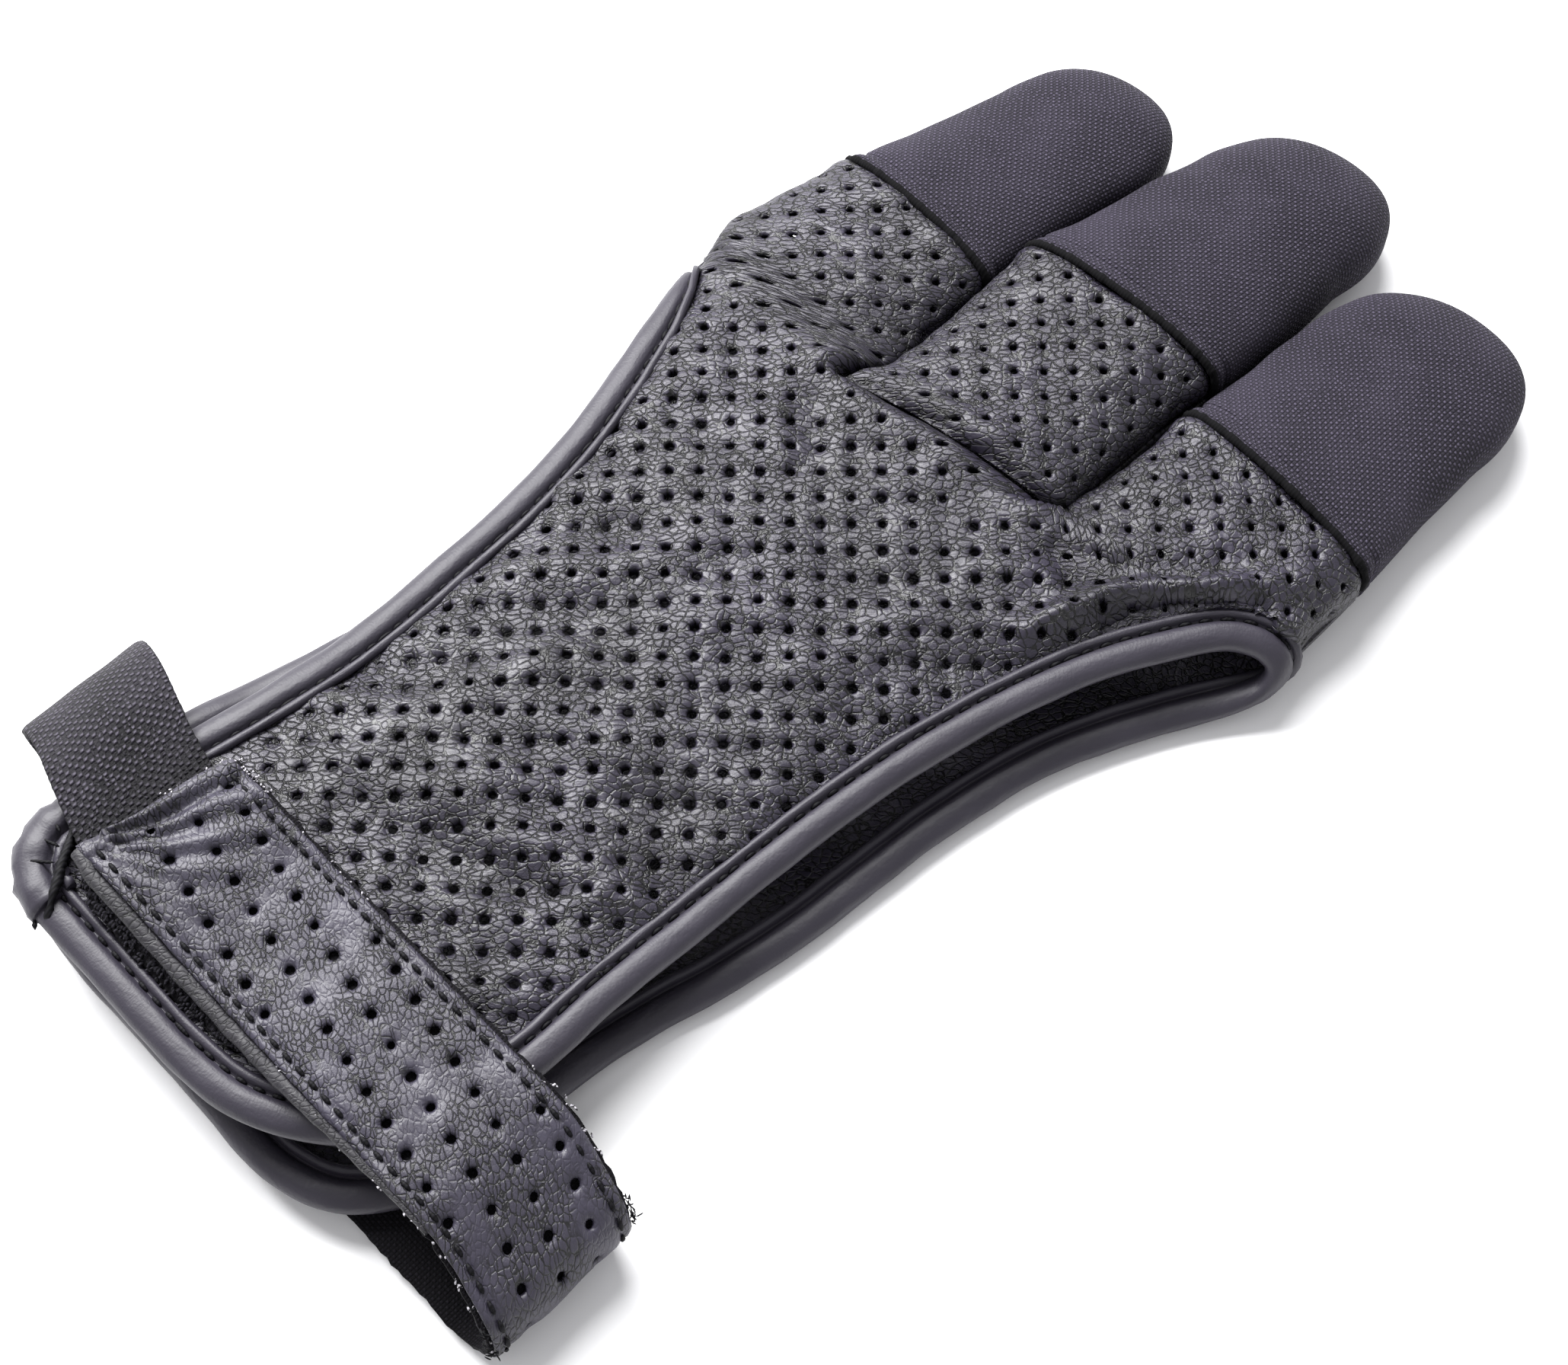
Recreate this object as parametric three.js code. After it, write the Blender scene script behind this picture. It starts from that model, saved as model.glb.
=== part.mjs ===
// Three-finger archery glove for the right hand, lying on its palm with the back of the hand up.
// Millimetres. +Y runs from the wrist to the fingertips, +X to the little finger's side, +Z up.
import * as THREE from 'three';

// Whole glove
const gloveLength = 211;        // outside of the wrist's binding to the tip of the middle finger
const handWidth = 103;          // across the finger roots, outside to outside
const leatherWall = 1.2;        // back and palm leather
const nylonWall = 1.2;          // woven fingertip caps
const clearance = 0.35;         // between pieces that are sewn or laid together
const edgeClearance = 0.72;     // between the leather's edge and the binding round it

// How it lies
const seamHeight = 6;           // finger side seams above the table
const leatherBluntness = 0.42;  // how the fingers round over: 0 has square shoulders, 1 is a hump
const capBluntness = 0.72;
const soleBluntness = 0.55;
const bluntnessLead = 2;        // the change starts this far before the cap's hem
const bluntnessRun = 12;        // and takes this far
const backRise = 3.2;           // crown of the back above its bound edges
const wristCrown = 0.55;        // share of that crown left under the strap
const edgeHeight = 9.8;         // middle of the back's bound edges, along the hand
const wristRise = 2.2;          // how much higher the back's edge stands at the wrist
const indexHeight = 12.6;       // top of each finger above the table
const middleHeight = 14.2;
const ringHeight = 12.8;

// Edge binding
const bindingWidth = 5.6;
const bindingThickness = 3.2;
const tabSwell = 0.5;           // how much fatter the folded corner tab is than the binding
const thumbSlimness = 0.35;     // share of its width that the thumb side's binding loses at its turn
const palmLift = 0.2;           // palm binding's underside above the table

// Wrist strap: perforated leather over a black tape, folded round at its free end
const strapWidth = 21;
const strapStart = 75.4;        // from the glove's middle down to the strap's finger-side edge
const strapLeather = 1;
const strapTape = 0.8;
const strapReach = 48.4;         // from the glove's axis out to the fold
const strapFoldHeight = 12.4;   // outside height of the folded end
const strapLeftEnd = -29;
const strapUnderEnd = 6;        // where the returning layer stops under the palm
const strapSlip = 4;            // how far the returning layer slips towards the wrist
const strapSlant = 4;           // how much further the sewn end reaches at the wrist side

// Elastic webbing, folded beside the thumb
const elasticWidth = 19.2;
const elasticWall = 1.5;
const elasticReach = 56.2;
const elasticFoldHeight = 9.6;
const elasticInnerEnd = -25;
const elasticInset = 2.2;       // from the strap's finger-side edge to the elastic's
const elasticRise = 6.3;        // how far the fold lies nearer the fingers than the sewn end

// Detail of the faceted surfaces
const stepsAcrossFinger = 10;
const stepsAlongTip = 9;
const bindingStepsPerRow = 2;
const panelStepsPerRow = 6;      // finer, so that the leather's edge keeps clear of the binding
const bindingSides = 8;
const strapSteps = 28;
const bandColumns = 2;
const elasticSteps = 22;
// Rows of the leather, closer together where its edge turns. They are shares of the hand, of the
// strip between the square's seam and the finger roots, of the ring finger's leather up to the
// turn of the binding beside it, and of any finger's leather up to its hem.
const handRows = [0, 0.03, 0.07, 0.13, 0.22, 0.34, 0.46, 0.58, 0.7, 0.79, 0.86, 0.91, 0.95, 0.98, 1];
const rootRows = [0, 0.3, 0.65, 1];
const turnRows = [0, 0.25, 0.5, 0.7, 0.84, 0.94, 1];
const hemRows = [0, 0.3, 0.65, 1];

// Heights that follow from the sizes above
const strapThickness = strapLeather + clearance + strapTape;
const wristLift = strapThickness + clearance;
const palmEdge = bindingThickness / 2 + palmLift;
const fingers = ['index', 'middle', 'ring'];
const sameplace = 1e-6;

// Finger outlines: along is a share of the glove's length from the wrist, left and right are
// shares of the hand's width from the glove's axis.
const fingerOutline = {
  index: {
    height: indexHeight,
    rows: [
      { along: 0.623, left: -0.475, right: -0.153 },
      { along: 0.656, left: -0.484, right: -0.153 },
      { along: 0.690, left: -0.470, right: -0.153 },
      { along: 0.723, left: -0.453, right: -0.154 },
      { along: 0.770, left: -0.433, right: -0.158 },
      { along: 0.813, left: -0.411, right: -0.147 },
      { along: 0.868, left: -0.382, right: -0.127 },
    ],
    hem: { left: 0.748, right: 0.742 },
    tip: { along: 0.947, centre: -0.232 },
  },
  middle: {
    height: middleHeight,
    rows: [
      { along: 0.623, left: -0.147, right: 0.170 },
      { along: 0.690, left: -0.147, right: 0.172 },
      { along: 0.737, left: -0.147, right: 0.173 },
      { along: 0.770, left: -0.153, right: 0.179 },
      { along: 0.794, left: -0.153, right: 0.183 },
      { along: 0.832, left: -0.138, right: 0.186 },
      { along: 0.879, left: -0.117, right: 0.188 },
      { along: 0.917, left: -0.098, right: 0.185 },
    ],
    hem: { left: 0.781, right: 0.787 },
    tip: { along: 1.0, centre: 0.075 },
  },
  ring: {
    height: ringHeight,
    rows: [
      { along: 0.623, left: 0.178, right: 0.521 },
      { along: 0.676, left: 0.179, right: 0.520 },
      { along: 0.723, left: 0.181, right: 0.519 },
      { along: 0.766, left: 0.187, right: 0.514 },
      { along: 0.813, left: 0.193, right: 0.508 },
      { along: 0.870, left: 0.199, right: 0.505 },
    ],
    hem: { left: 0.756, right: 0.742 },
    tip: { along: 0.957, centre: 0.370 },
  },
};
const crotchAlong = 0.645;      // where the fingers part
const squareLeft = 0.609;       // ends of the base seam of the middle finger's own square
const squareRight = 0.632;
const archAlong = 0.565;        // where the finger humps start to rise out of the flat back

// Bound edges: along and out as above, level is 1 at the back's edge and 0 at the palm's,
// turn goes from 0 where the edge faces up to 1 where it faces down.
const littleSideEdge = [
  { along: 0.014, out: -0.314, level: 1, turn: 0 },
  { along: 0.014, out: -0.175, level: 1, turn: 0 },
  { along: 0.014, out: -0.030, level: 1, turn: 0 },
  { along: 0.020, out: 0.055, level: 1, turn: 0 },
  { along: 0.038, out: 0.128, level: 1, turn: 0 },
  { along: 0.063, out: 0.185, level: 1, turn: 0 },
  { along: 0.095, out: 0.227, level: 1, turn: 0 },
  { along: 0.143, out: 0.249, level: 1, turn: 0 },
  { along: 0.206, out: 0.248, level: 1, turn: 0 },
  { along: 0.282, out: 0.252, level: 1, turn: 0 },
  { along: 0.367, out: 0.262, level: 1, turn: 0 },
  { along: 0.443, out: 0.282, level: 1, turn: 0 },
  { along: 0.514, out: 0.315, level: 1, turn: 0 },
  { along: 0.571, out: 0.354, level: 1, turn: 0 },
  { along: 0.618, out: 0.403, level: 1, turn: 0 },
  { along: 0.649, out: 0.447, level: 0.98, turn: 0.05 },
  { along: 0.661, out: 0.485, level: 0.88, turn: 0.15 },
  { along: 0.663, out: 0.510, level: 0.68, turn: 0.32 },
  { along: 0.659, out: 0.518, level: 0.45, turn: 0.50 },
  { along: 0.649, out: 0.512, level: 0.20, turn: 0.70 },
  { along: 0.630, out: 0.490, level: 0.05, turn: 0.88 },
  { along: 0.604, out: 0.458, level: 0, turn: 1 },
  { along: 0.559, out: 0.412, level: 0, turn: 1 },
  { along: 0.514, out: 0.376, level: 0, turn: 1 },
  { along: 0.457, out: 0.350, level: 0, turn: 1 },
  { along: 0.396, out: 0.335, level: 0, turn: 1 },
  { along: 0.329, out: 0.323, level: 0, turn: 1 },
  { along: 0.273, out: 0.303, level: 0, turn: 1 },
  { along: 0.225, out: 0.279, level: 0, turn: 1 },
  { along: 0.178, out: 0.264, level: 0, turn: 1 },
  { along: 0.125, out: 0.262, level: 0, turn: 1 },
  { along: 0.081, out: 0.256, level: 0, turn: 1 },
  { along: 0.049, out: 0.232, level: 0, turn: 1 },
  { along: 0.026, out: 0.189, level: 0, turn: 1 },
  { along: 0.014, out: 0.120, level: 0, turn: 1 },
  { along: 0.014, out: -0.050, level: 0, turn: 1 },
  { along: 0.014, out: -0.243, level: 0, turn: 1 },
  { along: 0.020, out: -0.333, level: 0, turn: 1 },
  { along: 0.034, out: -0.376, level: 0, turn: 1 },
  { along: 0.054, out: -0.394, level: 0, turn: 1 },
];
const thumbSideEdge = [
  { along: 0.063, out: -0.366, level: 1, turn: 0 },
  { along: 0.093, out: -0.352, level: 1, turn: 0 },
  { along: 0.145, out: -0.332, level: 1, turn: 0 },
  { along: 0.197, out: -0.318, level: 1, turn: 0 },
  { along: 0.254, out: -0.313, level: 1, turn: 0 },
  { along: 0.329, out: -0.319, level: 1, turn: 0 },
  { along: 0.396, out: -0.328, level: 1, turn: 0 },
  { along: 0.457, out: -0.349, level: 1, turn: 0 },
  { along: 0.509, out: -0.379, level: 1, turn: 0 },
  { along: 0.554, out: -0.410, level: 0.98, turn: 0.04 },
  { along: 0.585, out: -0.436, level: 0.88, turn: 0.14 },
  { along: 0.602, out: -0.453, level: 0.68, turn: 0.32 },
  { along: 0.606, out: -0.459, level: 0.45, turn: 0.50 },
  { along: 0.596, out: -0.453, level: 0.22, turn: 0.68 },
  { along: 0.571, out: -0.434, level: 0.05, turn: 0.88 },
  { along: 0.533, out: -0.404, level: 0, turn: 1 },
  { along: 0.476, out: -0.368, level: 0, turn: 1 },
  { along: 0.415, out: -0.346, level: 0, turn: 1 },
  { along: 0.348, out: -0.340, level: 0, turn: 1 },
  { along: 0.291, out: -0.348, level: 0, turn: 1 },
  { along: 0.239, out: -0.369, level: 0, turn: 1 },
  { along: 0.197, out: -0.389, level: 0, turn: 1 },
  { along: 0.149, out: -0.401, level: 0, turn: 1 },
  { along: 0.102, out: -0.405, level: 0, turn: 1 },
  { along: 0.064, out: -0.400, level: 0, turn: 1 },
];
// The back's thumb-side wrist corner, closed by the folded tab between the two bindings
const tabEdge = [
  { along: 0.057, out: -0.370, level: 1, turn: 0 },
  { along: 0.042, out: -0.372, level: 1, turn: 0 },
  { along: 0.027, out: -0.360, level: 1, turn: 0 },
  { along: 0.017, out: -0.336, level: 1, turn: 0 },
  { along: 0.015, out: -0.325, level: 1, turn: 0 },
];

// Soft folds of the back: a ridge (or with a negative height a hollow) from one place to another
const backFolds = [
  { fromAlong: 0.585, fromOut: 0.330, toAlong: 0.670, toOut: 0.440, width: 4.5, height: 1.3 },
  { fromAlong: 0.545, fromOut: 0.330, toAlong: 0.620, toOut: 0.440, width: 3.5, height: -1.4 },
  { fromAlong: 0.300, fromOut: -0.240, toAlong: 0.360, toOut: 0.180, width: 5, height: 0.7 },
  { fromAlong: 0.230, fromOut: -0.240, toAlong: 0.275, toOut: 0.180, width: 5, height: 0.7 },
  { fromAlong: 0.262, fromOut: -0.240, toAlong: 0.316, toOut: 0.180, width: 4, height: -0.6 },
];

const lengthwise = (along) => (along - 0.5) * gloveLength;
const crosswise = (out) => out * handWidth;
const mix = (a, b, t) => a + (b - a) * t;
const evenRows = (steps) => Array.from({ length: steps + 1 }, (_, i) => i / steps);
const clamp01 = (t) => Math.min(1, Math.max(0, t));

function smooth(from, to, value) {
  const t = clamp01((value - from) / (to - from));
  return t * t * (3 - 2 * t);
}

// Reads a column of a table at a place between its rows
function readTable(rows, key, along) {
  if (along <= rows[0].along) return rows[0][key];
  for (let i = 1; i < rows.length; i += 1) {
    if (along <= rows[i].along) {
      const t = (along - rows[i - 1].along) / (rows[i].along - rows[i - 1].along);
      return mix(rows[i - 1][key], rows[i][key], t);
    }
  }
  return rows[rows.length - 1][key];
}

// Height of the palm's underside: the wrist end lies on the strap's returning layer
function palmFloor(y) {
  const strapEdge = -strapStart;
  return wristLift * smooth(strapEdge + strapWidth / 2, strapEdge + strapWidth / 10, y);
}

function backEdgeHeight(y) {
  return edgeHeight + wristRise * smooth(lengthwise(0.3), lengthwise(0.15), y);
}

// A bound edge as a smooth path of points, each with the way the edge faces, where the leather
// lies from it and how wide the binding is
function edgePath(table, stepsPerRow, inwardSign, slimness = 0) {
  const points = table.map((row) => {
    const y = lengthwise(row.along);
    const low = palmEdge + palmFloor(y);
    return new THREE.Vector3(crosswise(row.out), y, mix(low, backEdgeHeight(y), row.level));
  });
  const curve = new THREE.CatmullRomCurve3(points, false, 'centripetal');
  const path = [];
  const steps = (table.length - 1) * stepsPerRow;
  for (let i = 0; i <= steps; i += 1) {
    const place = curve.getPoint(i / steps);
    const forward = curve.getTangent(i / steps);
    const k = Math.min(Math.floor(i / stepsPerRow), table.length - 2);
    const turn = mix(table[k].turn, table[k + 1].turn, i / stepsPerRow - k) * Math.PI;
    const side = Math.sign(place.x) || 1;
    const facing = new THREE.Vector3(side * Math.sin(turn), 0, Math.cos(turn));
    const inward = new THREE.Vector3().crossVectors(facing, forward).multiplyScalar(inwardSign);
    inward.normalize();
    facing.crossVectors(forward, inward).multiplyScalar(inwardSign).normalize();
    const width = bindingWidth * (1 - slimness * Math.sin(turn));
    path.push({ place, forward, inward, facing, turn, width });
  }
  return path;
}

const littlePath = (stepsPerRow) => edgePath(littleSideEdge, stepsPerRow, 1);
const thumbPath = (stepsPerRow) => edgePath(thumbSideEdge, stepsPerRow, -1, thumbSlimness);
const tabPath = (stepsPerRow) => edgePath(tabEdge, stepsPerRow, 1);

// Where the leather's edge runs beside a bound edge
function leatherEdge(path) {
  return path.map((p) => ({
    place: p.place.clone().addScaledVector(p.inward, p.width / 2 + edgeClearance),
    facing: p.facing,
  }));
}

// The back has the leather's edge before the turn's farthest point and the palm has the rest.
// Both lists start at the wrist.
function panelEdges(path) {
  const points = leatherEdge(path);
  const heights = points.map((p) => p.place.y);
  const turn = heights.indexOf(Math.max(...heights));
  const facingLevel = (p, up) => {
    const facing = p.facing.clone();
    facing.z = up * Math.max(0, facing.z * up);
    return { place: p.place, facing: facing.normalize() };
  };
  return {
    back: points.slice(0, turn + 1).map((p) => facingLevel(p, 1)),
    palm: points.slice(turn).reverse().map((p) => facingLevel(p, -1)),
  };
}

function edgeAt(points, y) {
  let i = 1;
  while (i < points.length - 1 && points[i].place.y < y) i += 1;
  const a = points[i - 1];
  const b = points[i];
  const t = clamp01((y - a.place.y) / (b.place.y - a.place.y || 1));
  return {
    place: a.place.clone().lerp(b.place, t),
    facing: a.facing.clone().lerp(b.facing, t).normalize(),
  };
}

// Panels start just inside the wrist's binding. Their thumb-side corner follows the tab on the
// back, and the end of the other side's binding on the palm.
const littlePoints = littlePath(panelStepsPerRow);
const wristY = littlePoints[0].place.y + bindingWidth / 2 + edgeClearance;
const littleEdges = panelEdges(littlePoints);
const thumbEdges = panelEdges(thumbPath(panelStepsPerRow));
const tabCorner = leatherEdge(tabPath(panelStepsPerRow)).reverse();
const palmCorner = leatherEdge(littlePoints.filter((p) => p.place.x < crosswise(-0.27)
  && p.turn > Math.PI / 2));
const beyond = (out) => (p) => p.place.x > crosswise(out);
const sides = {
  back: {
    left: [...tabCorner, ...thumbEdges.back],
    right: littleEdges.back.filter(beyond(0.05)),
  },
  palm: {
    left: [...palmCorner, ...thumbEdges.palm],
    right: littleEdges.palm.filter(beyond(0.12)),
  },
};

// The finger's section at one place: centre, half width, height, how much of its height is left
// near the tip, and how it rounds over
function fingerSection(name, y) {
  const outline = fingerOutline[name];
  const along = y / gloveLength + 0.5;
  const last = outline.rows[outline.rows.length - 1];
  const left = crosswise(readTable(outline.rows, 'left', along));
  const right = crosswise(readTable(outline.rows, 'right', along));
  const nose = clamp01((along - last.along) / (outline.tip.along - last.along));
  const round = Math.pow(Math.max(0, 1 - Math.pow(nose, 2.4)), 1 / 2.2);
  const centre = mix((left + right) / 2, crosswise(outline.tip.centre), nose);
  const hem = lengthwise((outline.hem.left + outline.hem.right) / 2);
  const change = smooth(hem - bluntnessLead, hem - bluntnessLead + bluntnessRun, y);
  const bluntness = mix(leatherBluntness, capBluntness, change);
  return { centre, half: ((right - left) / 2) * round, round, height: outline.height, bluntness };
}

// A point of a finger's skin. around is 0 at the left seam, 0.5 on top (or underneath), 1 at the
// right seam; depth moves it into the finger.
function fingerSkin(name, side, around, y, depth) {
  const section = fingerSection(name, y);
  const angle = Math.PI * around;
  const x = section.centre - Math.max(0.2, section.half - depth) * Math.cos(angle);
  const swell = Math.pow(Math.sin(angle), side === 'back' ? section.bluntness : soleBluntness);
  if (side === 'back') {
    const rise = Math.max(0.2, (section.height - seamHeight) * section.round - depth);
    return new THREE.Vector3(x, y, seamHeight + clearance / 2 + rise * swell);
  }
  const drop = Math.max(0.2, (seamHeight - clearance / 2) * section.round - depth);
  const sole = Math.min(1, swell * 1.15);
  return new THREE.Vector3(x, y, seamHeight - clearance / 2 - drop * sole);
}

function foldHeight(x, y) {
  let height = 0;
  for (const fold of backFolds) {
    const from = new THREE.Vector2(crosswise(fold.fromOut), lengthwise(fold.fromAlong));
    const run = new THREE.Vector2(crosswise(fold.toOut), lengthwise(fold.toAlong)).sub(from);
    const at = new THREE.Vector2(x, y).sub(from);
    const along = clamp01(at.dot(run) / run.lengthSq());
    const away = at.addScaledVector(run, -along).length() / fold.width;
    const fade = smooth(0, 0.25, along) * smooth(1, 0.75, along);
    height += fold.height * Math.exp(-away * away) * fade;
  }
  return height;
}

// A point of the flat hand, before the fingers arch up
function flatSkin(side, across, y, depth) {
  const { left, right } = sides[side];
  const a = edgeAt(left, y).place;
  const b = edgeAt(right, y).place;
  const x = mix(a.x, b.x, across);
  const crown = 1 - Math.pow(2 * across - 1, 2);
  if (side === 'back') {
    const rise = backRise * mix(1, wristCrown, smooth(lengthwise(0.3), lengthwise(0.15), y));
    const z = backEdgeHeight(y) + rise * Math.sqrt(crown) * (1 - 0.12 * crown) + foldHeight(x, y);
    return new THREE.Vector3(x, y, z + leatherWall / 2 - depth);
  }
  return new THREE.Vector3(x, y, palmFloor(y) + depth);
}

// How far the hand has gone over into separate fingers
const archAt = (y) => smooth(lengthwise(archAlong), lengthwise(crotchAlong), y);

function freeSkin(side, finger, around, y, depth) {
  const across = (finger + around) / fingers.length;
  const arched = fingerSkin(fingers[finger], side, around, y, depth);
  const joined = y <= lengthwise(crotchAlong) + sameplace;
  const neighbour = finger + (around === 0 ? -1 : 1);
  if (joined && (around === 0 || around === 1) && fingers[neighbour]) {
    arched.lerp(fingerSkin(fingers[neighbour], side, 1 - around, y, depth), 0.5);
  }
  return flatSkin(side, across, y, depth).lerp(arched, archAt(y));
}

// A point of the back's or the palm's leather, on the finger that it belongs to. The outer
// fingers are drawn in to where the binding holds their edges, and past it to their side seams.
function handSkin(side, finger, around, y, depth) {
  const point = freeSkin(side, finger, around, y, depth);
  const hold = (edge, edgeAround) => {
    const held = edgeAt(edge, y);
    const target = held.place.clone().addScaledVector(held.facing, leatherWall / 2 - depth);
    if (y >= edge[edge.length - 1].place.y) {
      target.copy(fingerSkin(fingers[finger], side, edgeAround, y, depth));
    }
    const home = freeSkin(side, finger, edgeAround, y, depth);
    const root = freeSkin(side, finger, 1 - edgeAround, y, depth);
    const nearness = Math.pow(1 - Math.abs(around - edgeAround), 4);
    point.x = mix(root.x, target.x, (point.x - root.x) / (home.x - root.x));
    point.y += (target.y - y) * nearness;
    point.z += (target.z - home.z) * nearness;
  };
  if (finger === 0) hold(sides[side].left, 0);
  if (finger === fingers.length - 1) hold(sides[side].right, 1);
  if (side === 'palm') point.z = Math.max(point.z, palmFloor(y) + depth);
  return point;
}

// Collects quads of a sheet, each corner with an outer and an inner point, and closes them into
// one solid with walls along its free edges
class Sheet {
  constructor() {
    this.corners = new Map();
    this.outer = [];
    this.inner = [];
    this.quads = [];
  }

  corner(outer, inner) {
    const key = [outer.x, outer.y, outer.z].map((v) => v.toFixed(3)).join();
    if (!this.corners.has(key)) {
      this.corners.set(key, this.outer.length);
      this.outer.push(outer);
      this.inner.push(inner);
    }
    return this.corners.get(key);
  }

  // rows lists shares of the way along; place(along, across) gives the two points; closed joins
  // the last column to the first
  addGrid(rows, columns, place, closed = false) {
    const ids = rows.map((along) => {
      const row = [];
      for (let c = 0; c <= columns; c += 1) {
        const { outer, inner } = place(along, closed && c === columns ? 0 : c / columns);
        row.push(this.corner(outer, inner));
      }
      return row;
    });
    for (let r = 0; r < rows.length - 1; r += 1) {
      for (let c = 0; c < columns; c += 1) {
        this.quads.push([ids[r][c], ids[r][c + 1], ids[r + 1][c + 1], ids[r + 1][c]]);
      }
    }
  }

  geometry() {
    const count = this.outer.length;
    const positions = [];
    for (const p of [...this.outer, ...this.inner]) positions.push(p.x, p.y, p.z);
    const index = [];
    const border = new Map();
    const triangle = (a, b, c) => {
      if (a === b || b === c || c === a) return;
      index.push(a, b, c);
      index.push(a + count, c + count, b + count);
      for (const [from, to] of [[a, b], [b, c], [c, a]]) {
        if (border.has(`${to},${from}`)) border.delete(`${to},${from}`);
        else border.set(`${from},${to}`, [from, to]);
      }
    };
    for (const [a, b, c, d] of this.quads) {
      triangle(a, b, c);
      triangle(a, c, d);
    }
    for (const [from, to] of border.values()) {
      index.push(to, from, from + count);
      index.push(to, from + count, to + count);
    }
    const geometry = new THREE.BufferGeometry();
    geometry.setAttribute('position', new THREE.Float32BufferAttribute(positions, 3));
    geometry.setIndex(index);
    geometry.computeVertexNormals();
    return geometry;
  }
}

// A closed bar along a bound edge, with a flattened round section
function edgeBar(path, swell = 0) {
  const positions = [];
  const index = [];
  const cornerCosine = Math.cos(Math.PI / bindingSides);
  for (const { place, inward, facing, width } of path) {
    for (let k = 0; k < bindingSides; k += 1) {
      const angle = ((k + 0.5) / bindingSides) * 2 * Math.PI;
      const wide = Math.sign(Math.cos(angle)) * Math.pow(Math.abs(Math.cos(angle)), 0.7);
      const high = Math.sign(Math.sin(angle)) * Math.pow(Math.abs(Math.sin(angle)), 0.8);
      const p = place.clone();
      const halfWidth = (width + swell) / 2 / Math.pow(cornerCosine, 0.7);
      const halfHeight = (bindingThickness + swell) / 2 / Math.pow(cornerCosine, 0.8);
      p.addScaledVector(inward, wide * halfWidth);
      p.addScaledVector(facing, high * halfHeight);
      positions.push(p.x, p.y, p.z);
    }
  }
  const quad = (a, b, c, d) => index.push(a, b, c, a, c, d);
  const last = path.length - 1;
  for (let i = 0; i < last; i += 1) {
    for (let k = 0; k < bindingSides; k += 1) {
      const next = (k + 1) % bindingSides;
      const row = i * bindingSides;
      quad(row + k, row + next, row + bindingSides + next, row + bindingSides + k);
    }
  }
  for (let k = 1; k < bindingSides - 1; k += 1) {
    index.push(0, k + 1, k);
    index.push(last * bindingSides, last * bindingSides + k, last * bindingSides + k + 1);
  }
  const geometry = new THREE.BufferGeometry();
  geometry.setAttribute('position', new THREE.Float32BufferAttribute(positions, 3));
  geometry.setIndex(index);
  return facingOut(geometry);
}

// Turns a closed geometry's triangles round when they face inwards
function facingOut(geometry) {
  const p = geometry.attributes.position;
  const index = geometry.index.array;
  const corner = (i) => new THREE.Vector3().fromBufferAttribute(p, i);
  let volume = 0;
  for (let i = 0; i < index.length; i += 3) {
    const [a, b, c] = [corner(index[i]), corner(index[i + 1]), corner(index[i + 2])];
    volume += a.dot(b.cross(c));
  }
  if (volume < 0) {
    for (let i = 0; i < index.length; i += 3) {
      [index[i + 1], index[i + 2]] = [index[i + 2], index[i + 1]];
    }
  }
  geometry.computeVertexNormals();
  return geometry;
}

function hemY(name, x) {
  const { hem, rows } = fingerOutline[name];
  const left = crosswise(readTable(rows, 'left', hem.left));
  const right = crosswise(readTable(rows, 'right', hem.right));
  return lengthwise(mix(hem.left, hem.right, clamp01((x - left) / (right - left))));
}

// Leather along one finger between two lines across it, each giving y for a place around it
function addLeather(sheet, side, finger, rows, from, to, squeeze = 0) {
  sheet.addGrid(rows, stepsAcrossFinger, (v, around) => {
    const y = mix(from(around), to(around), v);
    const { centre, half } = fingerSection(fingers[finger], y);
    const place = (depth) => {
      const p = handSkin(side, finger, around, y, depth);
      p.x = mix(p.x, centre, squeeze / half);
      return p;
    };
    return { outer: place(0), inner: place(leatherWall) };
  });
}

// Lines across the leather
const wristLine = () => wristY;
const rootLine = () => lengthwise(crotchAlong);
const seamLine = (finger, gap) => (around) => {
  const share = clamp01(finger + around - 1);
  return lengthwise(mix(squareLeft, squareRight, share)) - gap;
};
const hemLine = (finger) => (around) => {
  const { centre, half } = fingerSection(fingers[finger], lengthwise(crotchAlong));
  return hemY(fingers[finger], centre - half * Math.cos(Math.PI * around)) - clearance;
};

// A finger's leather from its root to its hem, past the binding's turn where there is one
function addFingerToHem(sheet, side, finger, squeeze = 0) {
  const edge = sides[side].right;
  const turnLine = () => edge[edge.length - 1].place.y;
  if (finger < fingers.length - 1) {
    addLeather(sheet, side, finger, hemRows, rootLine, hemLine(finger), squeeze);
    return;
  }
  addLeather(sheet, side, finger, turnRows, rootLine, turnLine);
  addLeather(sheet, side, finger, hemRows, turnLine, hemLine(finger));
}

function backPanel() {
  const sheet = new Sheet();
  for (const finger of [0, 1, 2]) {
    addLeather(sheet, 'back', finger, handRows, wristLine, seamLine(finger, clearance));
  }
  for (const finger of [0, 2]) {
    addLeather(sheet, 'back', finger, rootRows, seamLine(finger, clearance), rootLine);
    addFingerToHem(sheet, 'back', finger);
  }
  return facingOut(sheet.geometry());
}

function middleFingerBack() {
  const sheet = new Sheet();
  addLeather(sheet, 'back', 1, rootRows, seamLine(1, 0), rootLine, clearance);
  addFingerToHem(sheet, 'back', 1, clearance);
  return facingOut(sheet.geometry());
}

function palmPanel() {
  const sheet = new Sheet();
  for (const finger of [0, 1, 2]) {
    addLeather(sheet, 'palm', finger, handRows, wristLine, rootLine);
    addFingerToHem(sheet, 'palm', finger);
  }
  return facingOut(sheet.geometry());
}

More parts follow.
